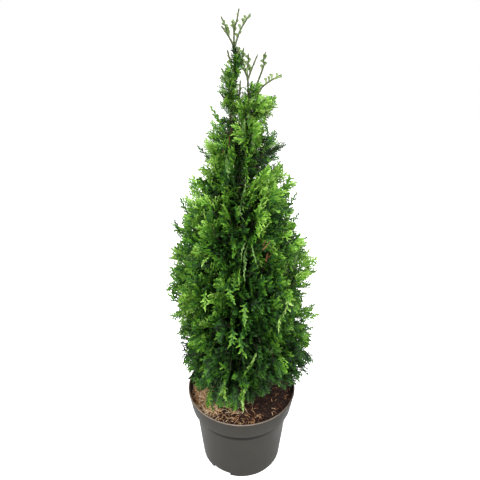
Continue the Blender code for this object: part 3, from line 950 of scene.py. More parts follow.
@dataclass(frozen=True)
class SoilFinish:
    """Dark moist peat that turns to dry tan coir at the front left."""

    peat: Triple = (0.010, 0.005, 0.0035)
    crumb: Triple = (0.040, 0.021, 0.014)
    coir: Triple = (0.270, 0.138, 0.062)
    coir_place: Triple = (-0.083, -0.038, 0.165)
    coir_radius: float = 0.050
    middle_place: Triple = (0.010, -0.088, 0.0)  # of a looser patch of fibres
    litter: tuple[Triple, ...] = (
        (0.014, 0.007, 0.005), (0.042, 0.021, 0.014), (0.13, 0.048, 0.024), (0.36, 0.185, 0.08),
        (0.55, 0.35, 0.19), (0.74, 0.6, 0.42),
    )

    def material(self) -> Material:
        """The soil's own surface."""
        surface = Surface("soil_peat")
        place = surface.place()
        crumbs = surface.noise(place, 260.0, 6.0)
        clouds = surface.noise(place, 38.0, 4.0)
        colour = surface.blend(surface.spread(crumbs, 0.40, 0.68), self.peat, self.crumb)
        away = surface.vectors("DISTANCE", place, self.coir_place)
        near = surface.spread(away, self.coir_radius, self.coir_radius * 0.4)
        patch = surface.times(near, surface.spread(clouds, 0.42, 0.56))
        colour = surface.blend(surface.times(patch, surface.spread(crumbs, 0.3, 0.55)), colour, self.coir)
        return surface.finish(bump=(surface.times(crumbs, 0.0016), 0.9), Base_Color=colour,
                              Roughness=0.95, Specular_IOR_Level=0.15)

    def litter_materials(self) -> dict[Litter, Material]:
        """One plain material for each kind of litter."""
        return {kind: plain_material(f"litter_{kind.name.lower()}", colour, 0.85, 0.2)
                for kind, colour in zip(Litter, self.litter)}


@dataclass
class SoilFill:
    """The potting soil, with chips and fibres on it."""

    pad_radius: float = 0.016  # the soil is level under the trunk
    wall_gap: float = 0.0004
    sides: int = 160
    rings: int = 60
    lumps: tuple[Pair, ...] = ((0.025, 0.0020), (0.007, 0.0011), (0.0028, 0.0006))  # size, height
    chips: int = 2600
    fibres: int = 4200
    flakes: int = 170
    seed: int = 21
    level: float = field(init=False)
    edge: float = field(init=False)

    def __post_init__(self) -> None:
        """Reads the soil's height from the trunk's foot, and its edge from its node."""
        low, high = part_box("potting_soil")
        self.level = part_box("trunk")[0].z - self.wall_gap
        self.edge = (high.x - low.x) / 2

    def height(self, x: float, y: float) -> float:
        """The height of the soil's surface."""
        far = min(max((math.hypot(x, y) - self.pad_radius) / 0.02, 0), 1)
        rough = sum(depth * noise.noise(Vector((x, y, 0.3)) / size) for size, depth in self.lumps)
        return self.level - 0.0006 + far * (rough + 0.0006)

    def build(self) -> None:
        pot = NurseryPot()
        lip, collar, step, base = pot.inner_wall(*pot.rim_and_height())
        share = (self.level - collar[1]) / (lip[1] - collar[1])
        edge = collar[0] + (lip[0] - collar[0]) * share - self.wall_gap
        profile = [(0, base[1] + self.wall_gap), (base[0] - self.wall_gap, base[1] + self.wall_gap),
                   (step[0] - self.wall_gap, step[1] + self.wall_gap),
                   (collar[0] - self.wall_gap, collar[1] + self.wall_gap)]
        profile += [(edge * (1 - k / self.rings) ** 0.8, self.level) for k in range(self.rings)]
        profile.append((0, self.level))
        mesh = turned_mesh("soil", profile, self.sides)
        for vertex in mesh.vertices:
            if vertex.co.z > self.level - 0.0001:
                vertex.co.z = self.height(vertex.co.x, vertex.co.y)
        soil = new_object("soil", mesh)
        apply_boolean(soil, pot.notches(pot.wall + self.wall_gap), "DIFFERENCE")
        dress(soil, SoilFinish().material())
        declare(soil, Slot.SOIL, "potting_soil")
        self._strew(edge)

    def _strew(self, edge: float) -> None:
        """Strews chips, fibres and flakes of straw: tan and dense at the front left, sparse elsewhere."""
        rng = random.Random(self.seed)
        finish = SoilFinish()
        patterns = [chip_mesh(rng) for _ in range(4)] + [fibre_mesh(rng) for _ in range(6)]
        patterns += [flake_mesh(rng) for _ in range(3)]
        scatterer = Scatterer("litter_strewer", patterns, finish.litter_materials())
        places = []
        coir, middle = Vector(finish.coir_place), Vector(finish.middle_place)
        for k in range(self.chips + self.fibres + self.flakes):
            far, turn = math.sqrt(rng.random()) * (edge - 0.003), rng.uniform(0, 2 * math.pi)
            spot = Vector((far * math.cos(turn), far * math.sin(turn), 0))
            dry = math.exp(-(((spot - coir).xy.length / finish.coir_radius) ** 2) * 1.1)
            dry *= 0.75 + 0.9 * noise.noise(spot / 0.022) + 0.9 * noise.noise(spot / 0.007)
            first, count, length, sizes, lift = 0, 4, 0.002, (0.5, 1.5), 0.0006
            tones = (Litter.TAN, Litter.COIR, Litter.RUST)
            if rng.random() > 1.8 * dry:
                tones = (Litter.PEAT,) * 8 + (Litter.CHIP,) * 3 + (Litter.RUST,)
            if k >= self.chips:
                first, count, length, sizes, lift = 4, 6, 0.009, (0.6, 1.7), 0.0016
                tones = (Litter.TAN, Litter.COIR, Litter.COIR, Litter.STRAW)
                if rng.random() > 2.4 * dry:
                    tones = (Litter.RUST, Litter.CHIP, Litter.TAN, Litter.COIR, Litter.CHIP)
                    if rng.random() > 0.06 + 0.6 * math.exp(-(((spot - middle).length / 0.030) ** 2)):
                        continue
            if k >= self.chips + self.fibres:
                first, count, length, sizes, lift = 10, 3, 0.008, (0.6, 1.3), 0.0016
                tones = (Litter.STRAW, Litter.STRAW, Litter.COIR)
            spot.z = self.height(spot.x, spot.y) + rng.uniform(0.0, lift)
            flat = Vector((rng.gauss(0, 0.22), rng.gauss(0, 0.22), 1)).normalized()
            way = heading(rng.uniform(0, 2 * math.pi), rng.gauss(0.06, 0.16))
            way = (way - flat * way.dot(flat) * 0.7).normalized()
            size = rng.uniform(*sizes)
            if (spot + way * length * size).xy.length > edge - 0.002:
                continue
            places.append(Placed(spot, way, flat, size, first + rng.randrange(count), rng.choice(tones)))
        declare(scatterer.scatter("soil_litter", places, 0.0), Slot.SOIL)
        scatterer.clear()


def chip_mesh(rng: random.Random) -> Mesh:
    """One chip of bark or peat, about 3 mm across: a low, uneven lens."""
    ring = [(0.0015 * rng.uniform(0.7, 1.2), 2 * math.pi * (k + rng.uniform(-0.2, 0.2)) / 6)
            for k in range(6)]
    points = [(r * math.cos(a), rng.uniform(-0.0002, 0.0002), r * 1.3 * math.sin(a)) for r, a in ring]
    points += [(0, 0.0006 * rng.uniform(0.8, 1.4), 0), (0, -0.0006, 0)]
    faces = []
    for k in range(6):
        faces += [((k + 1) % 6, k, 6), (k, (k + 1) % 6, 7)]
    return mesh_from("chip", points, faces)


def flake_mesh(rng: random.Random) -> Mesh:
    """One flat flake of straw, about 8 mm long and 1 mm wide, a little curled."""
    curl, wide = rng.uniform(0.05, 0.25), rng.uniform(0.0004, 0.0007)
    line = [Vector((0, 0.008 * curl * t * t, 0.008 * t)) for t in (0, 0.35, 0.7, 1)]
    leaf = LeafMesh()
    leaf.rod(line, (wide * 0.6, wide, wide * 0.9, wide * 0.4), Vector((0, 1, 0)), 0.3, 4, 0)
    return leaf.to_mesh("flake")


def fibre_mesh(rng: random.Random) -> Mesh:
    """One curved fibre, about 9 mm long, with three sides."""
    leaf = LeafMesh()
    bend, lift = rng.uniform(-0.5, 0.5), rng.uniform(0.0, 0.22)
    line = [Vector((0.009 * bend * t * t, 0.009 * lift * math.sin(math.pi * t), 0.009 * t))
            for t in (0, 0.25, 0.5, 0.75, 1)]
    leaf.rod(line, (0.00028, 0.00040, 0.00042, 0.00036, 0.00020), FRONT, 0.8, 3, 0)
    return leaf.to_mesh("fibre")


# ----------------------------------------------------------- woody frame


@dataclass(frozen=True)
class BarkFinish:
    """Thin, fibrous bark: red-brown strips with pale weathered edges and dark furrows."""

    furrow: Triple = (0.022, 0.012, 0.008)
    fibre: Triple = (0.092, 0.045, 0.026)
    weathered: Triple = (0.185, 0.120, 0.080)
    fibre_scale: float = 420.0  # strips per metre round the limb
    stretch: float = 0.09  # of the strips' width to their length
    young: Triple = (0.030, 0.024, 0.011)
    young_from: float = 0.40  # height where the bark starts to turn young
    young_to: float = 0.66

    def material(self) -> Material:
        """The bark of the trunk and the boughs."""
        surface = Surface("bark_fibrous")
        strips = surface.noise(surface.place((1, 1, self.stretch)), self.fibre_scale, 5.0)
        patches = surface.noise(surface.place((1, 1, 0.4)), 60.0, 3.0)
        colour = surface.blend(surface.spread(strips, 0.36, 0.56), self.furrow, self.fibre)
        edge = surface.times(surface.spread(strips, 0.52, 0.72), surface.spread(patches, 0.40, 0.62))
        colour = surface.blend(edge, colour, self.weathered)
        young = surface.spread(surface.height(), self.young_from, self.young_to, 0.0, 0.85)
        colour = surface.blend(young, colour, self.young)
        return surface.finish(bump=(surface.times(strips, 0.0007), 0.8), Base_Color=colour,
                              Roughness=surface.spread(patches, 0.3, 0.7, 0.82, 0.95), Specular_IOR_Level=0.2)


@dataclass
class WoodyFrame:
    """The trunk, the second leader, the main boughs and the twigs."""

    boughs: int = 10
    ring_step: float = 0.0022
    ridge_depth: float = 0.075  # of the bark's relief, as a share of the radius
    ridge_size: float = 0.0016
    ridge_length: float = 0.020
    flare_height: float = 0.014
    flare_lobes: int = 4
    flare_lobe_share: float = 0.16
    twig_sides: int = 5
    young: Triple = (0.040, 0.032, 0.014)  # colour of a twig's bark
    trunk: Limb = field(init=False)
    second: Limb = field(init=False)
    bough_limbs: list[Limb] = field(init=False)

    def __post_init__(self) -> None:
        """Reads the limbs' lines from the frame."""
        self.trunk = limb_of_node("trunk").smoothed(4)
        self.second = limb_of_node("second_leader").smoothed(4)
        self.bough_limbs = [limb_of_node(f"bough_{k + 1:02d}").smoothed(3) for k in range(self.boughs)]
        for limb in self.bough_limbs:
            way = (limb.points[-1] - limb.points[-3]).normalized()
            for step in range(1, 4):
                limb.points.append(limb.points[-1] + (way + UP * 0.25 * step) * 0.012)
                limb.radii.append(limb.radii[-1] * 0.82)

    def build(self) -> None:
        bark = BarkFinish().material()
        limbs = {"trunk": (self.trunk, 40), "second_leader": (self.second, 20)}
        limbs.update({f"bough_{k + 1:02d}": (limb, 20) for k, limb in enumerate(self.bough_limbs)})
        for name, (limb, sides) in limbs.items():
            piece = new_object(f"bark_{name}", self._relief(name, limb, sides))
            dress(piece, bark)
            piece.data.shade_smooth()
            declare(piece, Slot.BARK, name)

    def _relief(self, name: str, limb: Limb, sides: int) -> Mesh:
        """A closed tube round a limb, furrowed along its length. The trunk's foot flares out in lobes."""
        limb = limb.resampled(self.ring_step)
        foot = limb.points[0].z
        points, faces = [], []
        last = len(limb.points) - 1
        for k, (middle, radius) in enumerate(zip(limb.points, limb.radii)):
            along = (limb.points[min(k + 1, last)] - limb.points[max(k - 1, 0)]).normalized()
            across = along.cross(FRONT).normalized()
            other = along.cross(across)
            fall = max(1 - (middle.z - foot) / self.flare_height, 0) if name == "trunk" else 0
            for side in range(sides):
                turn = 2 * math.pi * side / sides
                out = across * math.cos(turn) + other * math.sin(turn)
                on_bark = out * radius / self.ridge_size
                ridge = noise.noise(Vector((on_bark.x, on_bark.y, middle.z / self.ridge_length)))
                lobes = self.flare_lobe_share * fall * math.cos(self.flare_lobes * turn)
                points.append(middle + out * (radius * (1 + self.ridge_depth * ridge + lobes)))
            if k == 0 and name == "trunk":
                for point in points:
                    point.z = foot
            if k:
                faces += ring_faces((k - 1) * sides, sides)
        faces.append(tuple(reversed(range(sides))))
        faces.append(tuple(last * sides + side for side in range(sides)))
        return mesh_from(f"bark_{name}", points, faces)

    def build_twigs(self, twigs: Sequence[Limb]) -> None:
        graph = Grower("twig_grower", [
            ("Lines", "Geometry", None), ("Sides", "Int", self.twig_sides), ("Bark", "Material", None)])
        lines = graph.add("GeometryNodeMeshToCurve", {0: graph.inputs["Lines"]})
        ring = graph.add("GeometryNodeCurvePrimitiveCircle",
                         {"Resolution": graph.inputs["Sides"], "Radius": 1.0})
        tubes = graph.add("GeometryNodeCurveToMesh", {
            "Curve": lines.outputs[0], "Profile Curve": ring.outputs[0], "Fill Caps": True,
            "Scale": graph.attribute("thickness", "FLOAT")})
        real = graph.add("GeometryNodeRealizeInstances", {0: tubes.outputs[0]})
        dressed = graph.add("GeometryNodeSetMaterial", {0: real.outputs[0], "Material": graph.inputs["Bark"]})
        edges, first = [], 0
        for twig in twigs:
            edges += [(first + k, first + k + 1) for k in range(len(twig.points) - 1)]
            first += len(twig.points)
        mesh = mesh_from("twig_lines", [point for twig in twigs for point in twig.points], [], edges)
        radii = [radius for twig in twigs for radius in twig.radii]
        mesh.attributes.new("thickness", "FLOAT", "POINT").data.foreach_set("value", radii)
        bark = plain_material("bark_young", self.young, 0.8)
        declare(grown("twigs", mesh, graph.result(dressed.outputs[0]), {"Bark": bark}), Slot.BARK)


# ----------------------------------------------------------------- crown


@dataclass(frozen=True)
class Tuft:
    """One mass of the crest: where it is, how many plumes fill it, and from which stem."""

    centre: Triple
    half: Triple
    plumes: int
    size: float  # of its sprays
    rise: float  # how far below its tip a plume leaves the stem
    light: float  # added to its grade
    second: bool = False  # whether it grows from the second leader


@dataclass(frozen=True)
class Loose:
    """A single spray that stands clear of the crown. Its places are in millimetres."""

    foot: Triple
    tip: Triple
    kind: SprayKind
    tone: Tone
    face: float = -90  # azimuth in degrees that its flat side looks to


@dataclass(frozen=True)
class Patch:
    """A part of the crown's front whose foliage is lighter or darker than that round it."""

    across: float  # along X, of its middle
    height: float
    half: float  # its half width; it fades out over as much again
    light: float


def channel_share(place: float, middle: float, half: float) -> float:
    """How much of a channel shows at a place: 1 inside its width, fading out over as much again."""
    return min(max(2 - abs(place - middle) / half, 0), 1)


@dataclass
class Crown:
    """The foliage: plumes on the stems, and sprays on the plumes."""

    wood: WoodyFrame
    grower: Scatterer
    seed: int = 5
    plumes: int = 500
    hollow: Pair = (0.000, 0.024)  # middle and half width, along X, of the front's hollow
    hollow_depth: float = 0.07  # as a share of the reach
    shade_depth: float = 1.4  # grades that the dark foliage in it is darker
    channel_from: float = 0.29  # height where the hollow starts
    shade: tuple[tuple[float, ...], ...] = (  # height, middle and half width of its dark foliage
        (0.36, -0.012, 0.038), (0.42, -0.006, 0.03), (0.48, 0.004, 0.032), (0.55, 0.006, 0.032),
        (0.6, -0.008, 0.024), (0.64, -0.016, 0.017),
    )
    light: Triple = (0.42, 7.8, 6.8)  # a height, and the grades gained per metre below and above it
    patches: tuple[Patch, ...] = (
        Patch(-0.078, 0.543, 0.021, -1.4), Patch(-0.045, 0.577, 0.018, -1.2),
        Patch(0.024, 0.533, 0.015, -0.9), Patch(0.056, 0.54, 0.016, -0.9), Patch(-0.1, 0.5, 0.02, 0.8),
        Patch(-0.045, 0.464, 0.016, 1.2), Patch(0.092, 0.465, 0.016, -0.8), Patch(0.058, 0.405, 0.02, -1.1),
        Patch(0.114, 0.345, 0.03, 1.3),
    )
    skirt_plumes: int = 34  # that are added at the foot of the crown
    skirt: Pair = (0.182, 0.240)  # heights of their tips
    core_sprays: int = 260  # that fill the crown's middle
    core: Pair = (0.215, 0.635)  # lowest and highest of them
    lowest: float = 0.180
    highest: float = 0.682
    foliated: float = 0.085  # length of a plume's leafy part
    clad_size: float = 0.40  # of the sprays that clad the tops of the stems
    twig_radii: Pair = (0.0016, 0.0006)  # at its foot and its tip
    spray_step: float = 0.0125
    fill_step: float = 0.015
    pale: tuple[Pair, ...] = ((0.58, 0.03), (0.72, 0.45))  # height, share of the feathers
    lump_size: float = 0.055  # of the bulges and hollows of the crown
    lump_start: float = 4.1  # where the unevenness starts
    bands: tuple[float, ...] = (0.0, 0.250, 0.310, 0.375, 0.450, 0.560, 1.0)  # heights between the pieces
    outline: tuple[Triple, ...] = (  # height, reach to the left, reach to the right
        (0.17, 0.082, 0.086), (0.222, 0.1, 0.12), (0.285, 0.124, 0.152), (0.344, 0.131, 0.145),
        (0.41, 0.139, 0.124), (0.48, 0.13, 0.131), (0.553, 0.119, 0.098), (0.599, 0.108, 0.085),
        (0.625, 0.085, 0.081), (0.645, 0.078, 0.07), (0.69, 0.062, 0.057),
    )
    hem: tuple[Pair, ...] = (  # azimuth in degrees, lowest height of a tip that way
        (0, 0.212), (60, 0.19), (150, 0.196), (205, 0.204), (228, 0.18), (266, 0.18), (284, 0.236),
        (300, 0.256), (335, 0.25), (350, 0.222), (360, 0.212),
    )
    lifts: tuple[Triple, ...] = (  # height, lift of the tips in degrees, rise as a share of the reach
        (0.18, -68, -0.1), (0.25, -50, 0.15), (0.33, -24, 0.4), (0.4, 8, 0.62), (0.47, 34, 0.82),
        (0.55, 54, 0.95), (0.7, 66, 1.1),
    )
    tufts: tuple[Tuft, ...] = (
        Tuft((-0.022, -0.004, 0.784), (0.011, 0.012, 0.033), 19, 0.488, 0.026, 1.1),
        Tuft((-0.0094, -0.002, 0.824), (0.007, 0.008, 0.018), 9, 0.4148, 0.02, 0.8),
        Tuft((0.018, -0.002, 0.788), (0.01, 0.01, 0.01), 7, 0.4636, 0.022, 1.7, True),
        Tuft((0.02, -0.006, 0.763), (0.027, 0.022, 0.016), 19, 0.5612, 0.034, 1.5, True),
        Tuft((0.04, -0.004, 0.769), (0.012, 0.013, 0.01), 6, 0.4636, 0.03, 0.9, True),
        Tuft((0.001, -0.006, 0.756), (0.009, 0.012, 0.014), 6, 0.488, 0.034, 0.9, True),
        Tuft((0.012, -0.014, 0.722), (0.023, 0.022, 0.022), 14, 0.671, 0.045, 1.2, True),
        Tuft((0.044, 0.0, 0.697), (0.02, 0.024, 0.02), 10, 0.6344, 0.05, -0.9, True),
        Tuft((-0.048, 0.0, 0.691), (0.016, 0.024, 0.014), 9, 0.6344, 0.045, 1.6),
        Tuft((-0.04, 0.004, 0.722), (0.013, 0.018, 0.018), 5, 0.61, 0.04, -0.3),
        Tuft((-0.006, -0.012, 0.69), (0.03, 0.026, 0.024), 13, 0.6832, 0.05, -0.3),
        Tuft((0.004, 0.026, 0.704), (0.044, 0.028, 0.044), 23, 0.732, 0.055, 0.1),
        Tuft((-0.01, 0.018, 0.765), (0.018, 0.012, 0.022), 7, 0.5124, 0.034, 0.2),
    )
    loose: tuple[Loose, ...] = (
        Loose((-56, 0, 672), (-76, -4, 698), OPEN, DEEP),
        Loose((-33, 0, 730.8), (-53.3, 3, 761), OPEN, DARK),
        Loose((-30, -10, 720), (-47, -14, 748), FEATHER, DARK),
        Loose((37.3, 0, 757.8), (53, -3, 770), OPEN, DARK),
        Loose((35, -8, 748), (44, -12, 718), FEATHER, DEEP),
        Loose((42.4, -4, 724), (47, -6, 699), FEATHER, DEEP),
        Loose((41, 0, 676), (64, -4, 698), OPEN, DEEP), Loose((68, 0, 593.4), (83.5, 4, 645), OPEN, DARK),
        Loose((79, 0, 580), (100, 2, 620), OPEN, DARK), Loose((86, 0, 545), (106, 3, 580), OPEN, DARK),
        Loose((99, 0, 498), (122, 3, 530), OPEN, DARK), Loose((111, 0, 476), (133, 3, 490), OPEN, DARK),
        Loose((116, 0, 450), (137, 3, 476), OPEN, DEEP), Loose((-97, 0, 570), (-110, 2, 603), OPEN, DEEP),
        Loose((-108, 0, 535.3), (-123, -2, 564), OPEN, DEEP),
        Loose((4.5, -113, 303.3), (28.7, -122, 362.4), RIBBON, FRESH, -78),
        Loose((9.1, -111, 310.8), (25.4, -119, 357.8), RIBBON, MID, -100),
        Loose((8.2, -116, 280.3), (3.8, -113, 211), RIBBON, FRESH, -70),
        Loose((2.8, -113, 272.7), (1.5, -110, 228.1), RIBBON, DARK, -80),
        Loose((-30.5, -106, 282.9), (-28.6, -104, 229.7), FEATHER, MID, -80),
        Loose((-16.9, -101, 261.4), (-13.6, -101, 205), FAN, DEEP, -90),
        Loose((-54.7, -87, 250.8), (-64, -92, 199), FEATHER, DARK, -60),
        Loose((-48.2, -85, 246.4), (-56, -93, 196), FEATHER, DEEP, -110),
        Loose((-40.1, -90, 253.6), (-42, -94, 199), FAN, DEEP, -100),
        Loose((82.6, -92, 467.3), (70.2, -108, 423.4), FEATHER, FRESH, -58),
        Loose((74, -100, 432.3), (62.9, -117, 392.6), FEATHER, FRESH, -58),
        Loose((-17, -104, 402), (-24, -121, 366), FEATHER, DARK),
        Loose((8, -104, 453), (5, -120, 418), FEATHER, DARK),
        Loose((-60, -86, 466), (-62, -105, 432), FEATHER, MID),
        Loose((-23, -101, 484), (-10, -120, 457), FEATHER, DARK),
        Loose((0, -106, 393), (9, -124, 353), FEATHER, DARK),
        Loose((6, -54, 661), (3, -73, 637), FEATHER, PALE, -32),
        Loose((3, -63, 637), (-2, -86, 615), FEATHER, PALE, -32),
        Loose((-3, -75, 613), (8, -96, 589), FEATHER, PALE, -32),
        Loose((10, -89, 550), (5, -111, 518), FEATHER, PALE, -32),
        Loose((16, -89, 543), (26, -107, 520), FEATHER, DARK, -148),
        Loose((-16, -85, 572), (-14, -106, 537), FEATHER, DARK, -40),
        Loose((-55, -78, 525), (-70, -90, 507), FEATHER, FRESH),
        Loose((-22, -40, 692), (-19, -62, 657), FEATHER, PALE, -32),
        Loose((8, -51, 670), (8, -67, 649), FEATHER, MID, -32),
        Loose((-15, -103, 472), (-13, -111, 514), FEATHER, DARK),
        Loose((34, -80, 561), (45, -84, 591), FEATHER, FRESH),
        Loose((-36, -98, 453), (-48, -112, 430), FEATHER, DARK),
        Loose((34, -103, 550), (46, -101, 565), RIBBON, DRY),
        Loose((35, -101, 556), (38, -104, 568), RIBBON, DRY),
        Loose((39, -106, 530), (43, -106, 548), RIBBON, DRY),
        Loose((42, -103, 536), (48, -105, 544), RIBBON, DRY),
        Loose((-23, -16, 698), (-21, -26, 718), RIBBON, DRY),
        Loose((-33, -20, 683), (-31, -30, 698), RIBBON, DRY),
        Loose((5.6, -98, 560), (0, -114, 534.1), RIBBON, PALE, -50),
        Loose((-2.4, -108, 520.1), (-4, -118, 497.9), RIBBON, MID, -60),
        Loose((7.2, -108, 529.2), (5.6, -122, 498.4), RIBBON, PALE, -50),
        Loose((16, -100, 555.7), (23.1, -114, 532.3), RIBBON, PALE, -60),
        Loose((2.5, -116, 452.8), (6.7, -127, 424.5), RIBBON, PALE, -60),
        Loose((-27, -88, 250), (-27, -99, 209), FAN, DEEP, -95),
        Loose((-6, -90, 248), (-9, -100, 212), FAN, DEEP, -85),
    )
    sprays: list[Placed] = field(default_factory=list)
    twigs: list[Limb] = field(default_factory=list)

    def __post_init__(self) -> None:
        """Starts the seeded draws."""
        self.rng = random.Random(self.seed)

    def reach(self, height: float, azimuth: float) -> float:
        """How far the crown reaches from the axis at a height, that way round."""
        left, right = interpolate(self.outline, height)
        wide = right if math.cos(azimuth) > 0 else left
        deep = (left + right) / 2
        return math.hypot(math.cos(azimuth) * wide, math.sin(azimuth) * deep)

    def heights(self) -> list[float]:
        """The plumes' heights: each plume has the same share of the crown's surface."""
        steps = 200
        spans = [self.lowest + (self.highest - self.lowest) * (k + 0.5) / steps for k in range(steps)]
        areas = [sum(interpolate(self.outline, height)) for height in spans]
        total, passed, chosen = sum(areas), 0.0, []
        for height, area in zip(spans, areas):
            passed += area
            while len(chosen) < self.plumes and (len(chosen) + 0.5) / self.plumes * total <= passed:
                chosen.append(height)
        return chosen

    def grow(self) -> None:
        """Grows every spray."""
        for k, height in enumerate(self.heights()):
            self.rng = random.Random(1000 * self.seed + k)  # a change to one plume leaves the others alone
            azimuth = k * GOLDEN_ANGLE + self.rng.uniform(-0.12, 0.12)
            self._grow_plume(height, azimuth)
        for k in range(self.skirt_plumes):
            self._grow_plume(self.rng.uniform(*self.skirt), k * GOLDEN_ANGLE - math.pi / 2)
        for tuft in self.tufts:
            self._grow_tuft(tuft)
        self._clad(self.wood.trunk, low=0.660, high=0.838, step=0.0032)
        self._clad(self.wood.second, low=0.680, high=0.786, step=0.0040)
        self._fill_core()
        for spray in self.loose:
            self._add_loose(spray)

    def _grow_plume(self, height: float, azimuth: float) -> None:
        """Grows one plume whose tip lies at a height, on a bulge or in a hollow of the crown."""
        rng = self.rng
        hem = interpolate(self.hem, math.degrees(azimuth) % 360)[0]
        height = max(height, 1.5 * hem - 0.5 * height)
        lift, rise = interpolate(self.lifts, height)
        lift = math.radians(lift + rng.uniform(-14, 14))
        reach = self.reach(height, azimuth)
        outward = heading(azimuth, 0)
        lump = noise.noise((outward * reach + UP * (height + self.lump_start)) / self.lump_size)
        depth = 0.94 + 0.22 * lump + rng.uniform(-0.04, 0.04)
        middle, below, above = self.light
        light = 6.0 * (depth - 0.95) - 0.46 + (below if height < middle else above) * (height - middle)
        light -= 0.5 * max(outward.x, 0)
        if outward.y < 0 and height > self.channel_from:
            across = outward.x * reach
            depth -= self.hollow_depth * channel_share(across, *self.hollow)
            light -= self.shade_depth * channel_share(across, *interpolate(self.shade, height))
            for patch in self.patches:
                away = math.hypot(across - patch.across, height - patch.height)
                light += patch.light * channel_share(away, 0, patch.half)
        depth = min(max(depth, 0.76), 1.04)
        tip = outward * (reach * depth) + UP * (height + rng.uniform(-0.012, 0.012))
        start_height = max(tip.z - rise * reach, self.wood.trunk.points[0].z + 0.012)
        foot = self.wood.trunk.at_height(start_height + rng.uniform(-0.01, 0.01))
        span = (tip - foot).length
        end_way = heading(azimuth + rng.uniform(-0.2, 0.2), lift)
        end = tip - end_way * 0.032
        start_way = heading(azimuth, math.radians(38))
        line = bezier(foot, foot + start_way * span * 0.4, end - end_way * span * 0.35, end, 12)
        self._dress_plume(line, azimuth, 1.0, light)

    def _dress_plume(self, line: list[Vector], azimuth: float, size: float, light: float) -> None:
        """Sets sprays along the outer part of a plume's axis and filling ones inside, and adds its twig.

        Args:
            line: The plume's axis.
            azimuth: The way it points from the trunk.
            size: Of its sprays.
            light: What is added to the grade of its sprays.
        """
        rng = self.rng
        lengths = [0.0]
        for a, b in zip(line, line[1:]):
            lengths.append(lengths[-1] + (b - a).length)
        total = lengths[-1]
        leafy = min(self.foliated * size, total * 0.85)
        twist = math.radians(rng.gauss(0, 30))
        light += rng.gauss(0, 0.45)
        around = Vector((-math.sin(azimuth), math.cos(azimuth), 0))
        if around.y < 0 and rng.random() < 0.8:
            around = -around
        side = rng.choice((-1, 1))
        place = total * 0.38
        while place <= total:
            inner = place < total - leafy
            k = min(bisect.bisect(lengths, place), len(line) - 1)
            foot = line[k - 1].lerp(line[k], min((place - lengths[k - 1]) / (lengths[k] - lengths[k - 1]), 1))
            along = (line[k] - line[k - 1]).normalized()
            normal = Quaternion(along, twist) @ (around - along * around.dot(along)).normalized()
            out = max((place - (total - leafy)) / leafy, 0)
            way = Quaternion(normal, math.radians(46 - 10 * out + rng.uniform(-8, 8)) * side) @ along
            flat = Quaternion(way, math.radians(rng.gauss(0, 40 if inner else 20))) @ normal
            # Inside the crown, broad filling sprays take low, dark tones: painted shade.
            if inner:
                self._add(foot, way, flat, size, FILL, rng.uniform(-0.4, 0.9) + 0.3 * light)
            else:
                kind = FAN if rng.random() < 0.62 else FEATHER
                grade = -0.3 + 2.4 * out + light + rng.gauss(0, 0.8)
                self._add(foot, way, flat, size * (1.02 - 0.28 * out) * rng.uniform(0.88, 1.1), kind, grade)
            side = -side
            place += self.fill_step * size if inner else self.spray_step * size
        along = (line[-1] - line[-2]).normalized()
        normal = Quaternion(along, twist) @ (around - along * around.dot(along)).normalized()
        self._add(line[-1], along, normal, size * rng.uniform(0.62, 0.78), FAN, 2.2 + light)
        thick, thin = self.twig_radii
        radii = [(thick + (thin - thick) * k / (len(line) - 1)) * size for k in range(len(line))]
        self.twigs.append(Limb(line, radii))

    def _add(self, foot: Vector, along: Vector, normal: Vector, size: float, kind: SprayKind,
             grade: float) -> None:
        """Adds one spray, with the tone that its grade comes to."""
        tone = Tone(min(max(round(grade), 0), 3))
        if kind == FEATHER and size < 0.85 and self.rng.random() < interpolate(self.pale, foot.z)[0]:
            tone = PALE
        pattern = kind.first_pattern + self.rng.randrange(kind.patterns)
        self.sprays.append(Placed(foot, along, normal, size, pattern, tone))

    def _add_loose(self, spray: Loose) -> None:
        """Adds a spray from one given point to another, swung so that its own tip comes to the second."""
        foot, tip = (Vector([part / 1000 for part in place]) for place in (spray.foot, spray.tip))
        pattern = spray.kind.first_pattern + self.rng.randrange(spray.kind.patterns)
        end = self.grower.ends[pattern]
        size = (tip - foot).length / end.length
        along, normal = (tip - foot).normalized(), heading(math.radians(spray.face), 0)
        placed = Placed(foot, along, normal, size, pattern, spray.tone)
        swing = (placed.turn() @ end).rotation_difference(along)
        self.sprays.append(replace(placed, along=swing @ along, normal=swing @ placed.upright()))

    def _grow_tuft(self, tuft: Tuft) -> None:
        """Grows small plumes from a stem into one mass of the crest."""
        rng = self.rng
        centre, half = Vector(tuft.centre), Vector(tuft.half)
        stem = self.wood.second if tuft.second else self.wood.trunk
        for k in range(tuft.plumes):
            rise = 1 - 1.75 * (k + 0.5) / tuft.plumes
            azimuth = k * GOLDEN_ANGLE + rng.uniform(-0.3, 0.3)
            level = math.sqrt(max(1 - rise * rise, 0))
            out = Vector((math.cos(azimuth) * level, math.sin(azimuth) * level, rise))
            tip = centre + Vector((out.x * half.x, out.y * half.y, out.z * half.z)) * rng.uniform(0.82, 1.00)
            foot = stem.at_height(tip.z - rng.uniform(0.6, 1.0) * tuft.rise)
            away = (tip - foot) - UP * (tip - foot).z
            end_way = (out * 0.5 + UP * 0.85 + away.normalized() * 0.35).normalized()
            span = (tip - foot).length
            end = tip - end_way * 0.0213 * tuft.size
            azimuth = math.atan2(away.y, away.x)
            start_way = heading(azimuth, math.radians(45))
            line = bezier(foot, foot + start_way * span * 0.35, end - end_way * span * 0.35, end, 8)
            self._dress_plume(line, azimuth, tuft.size, tuft.light)

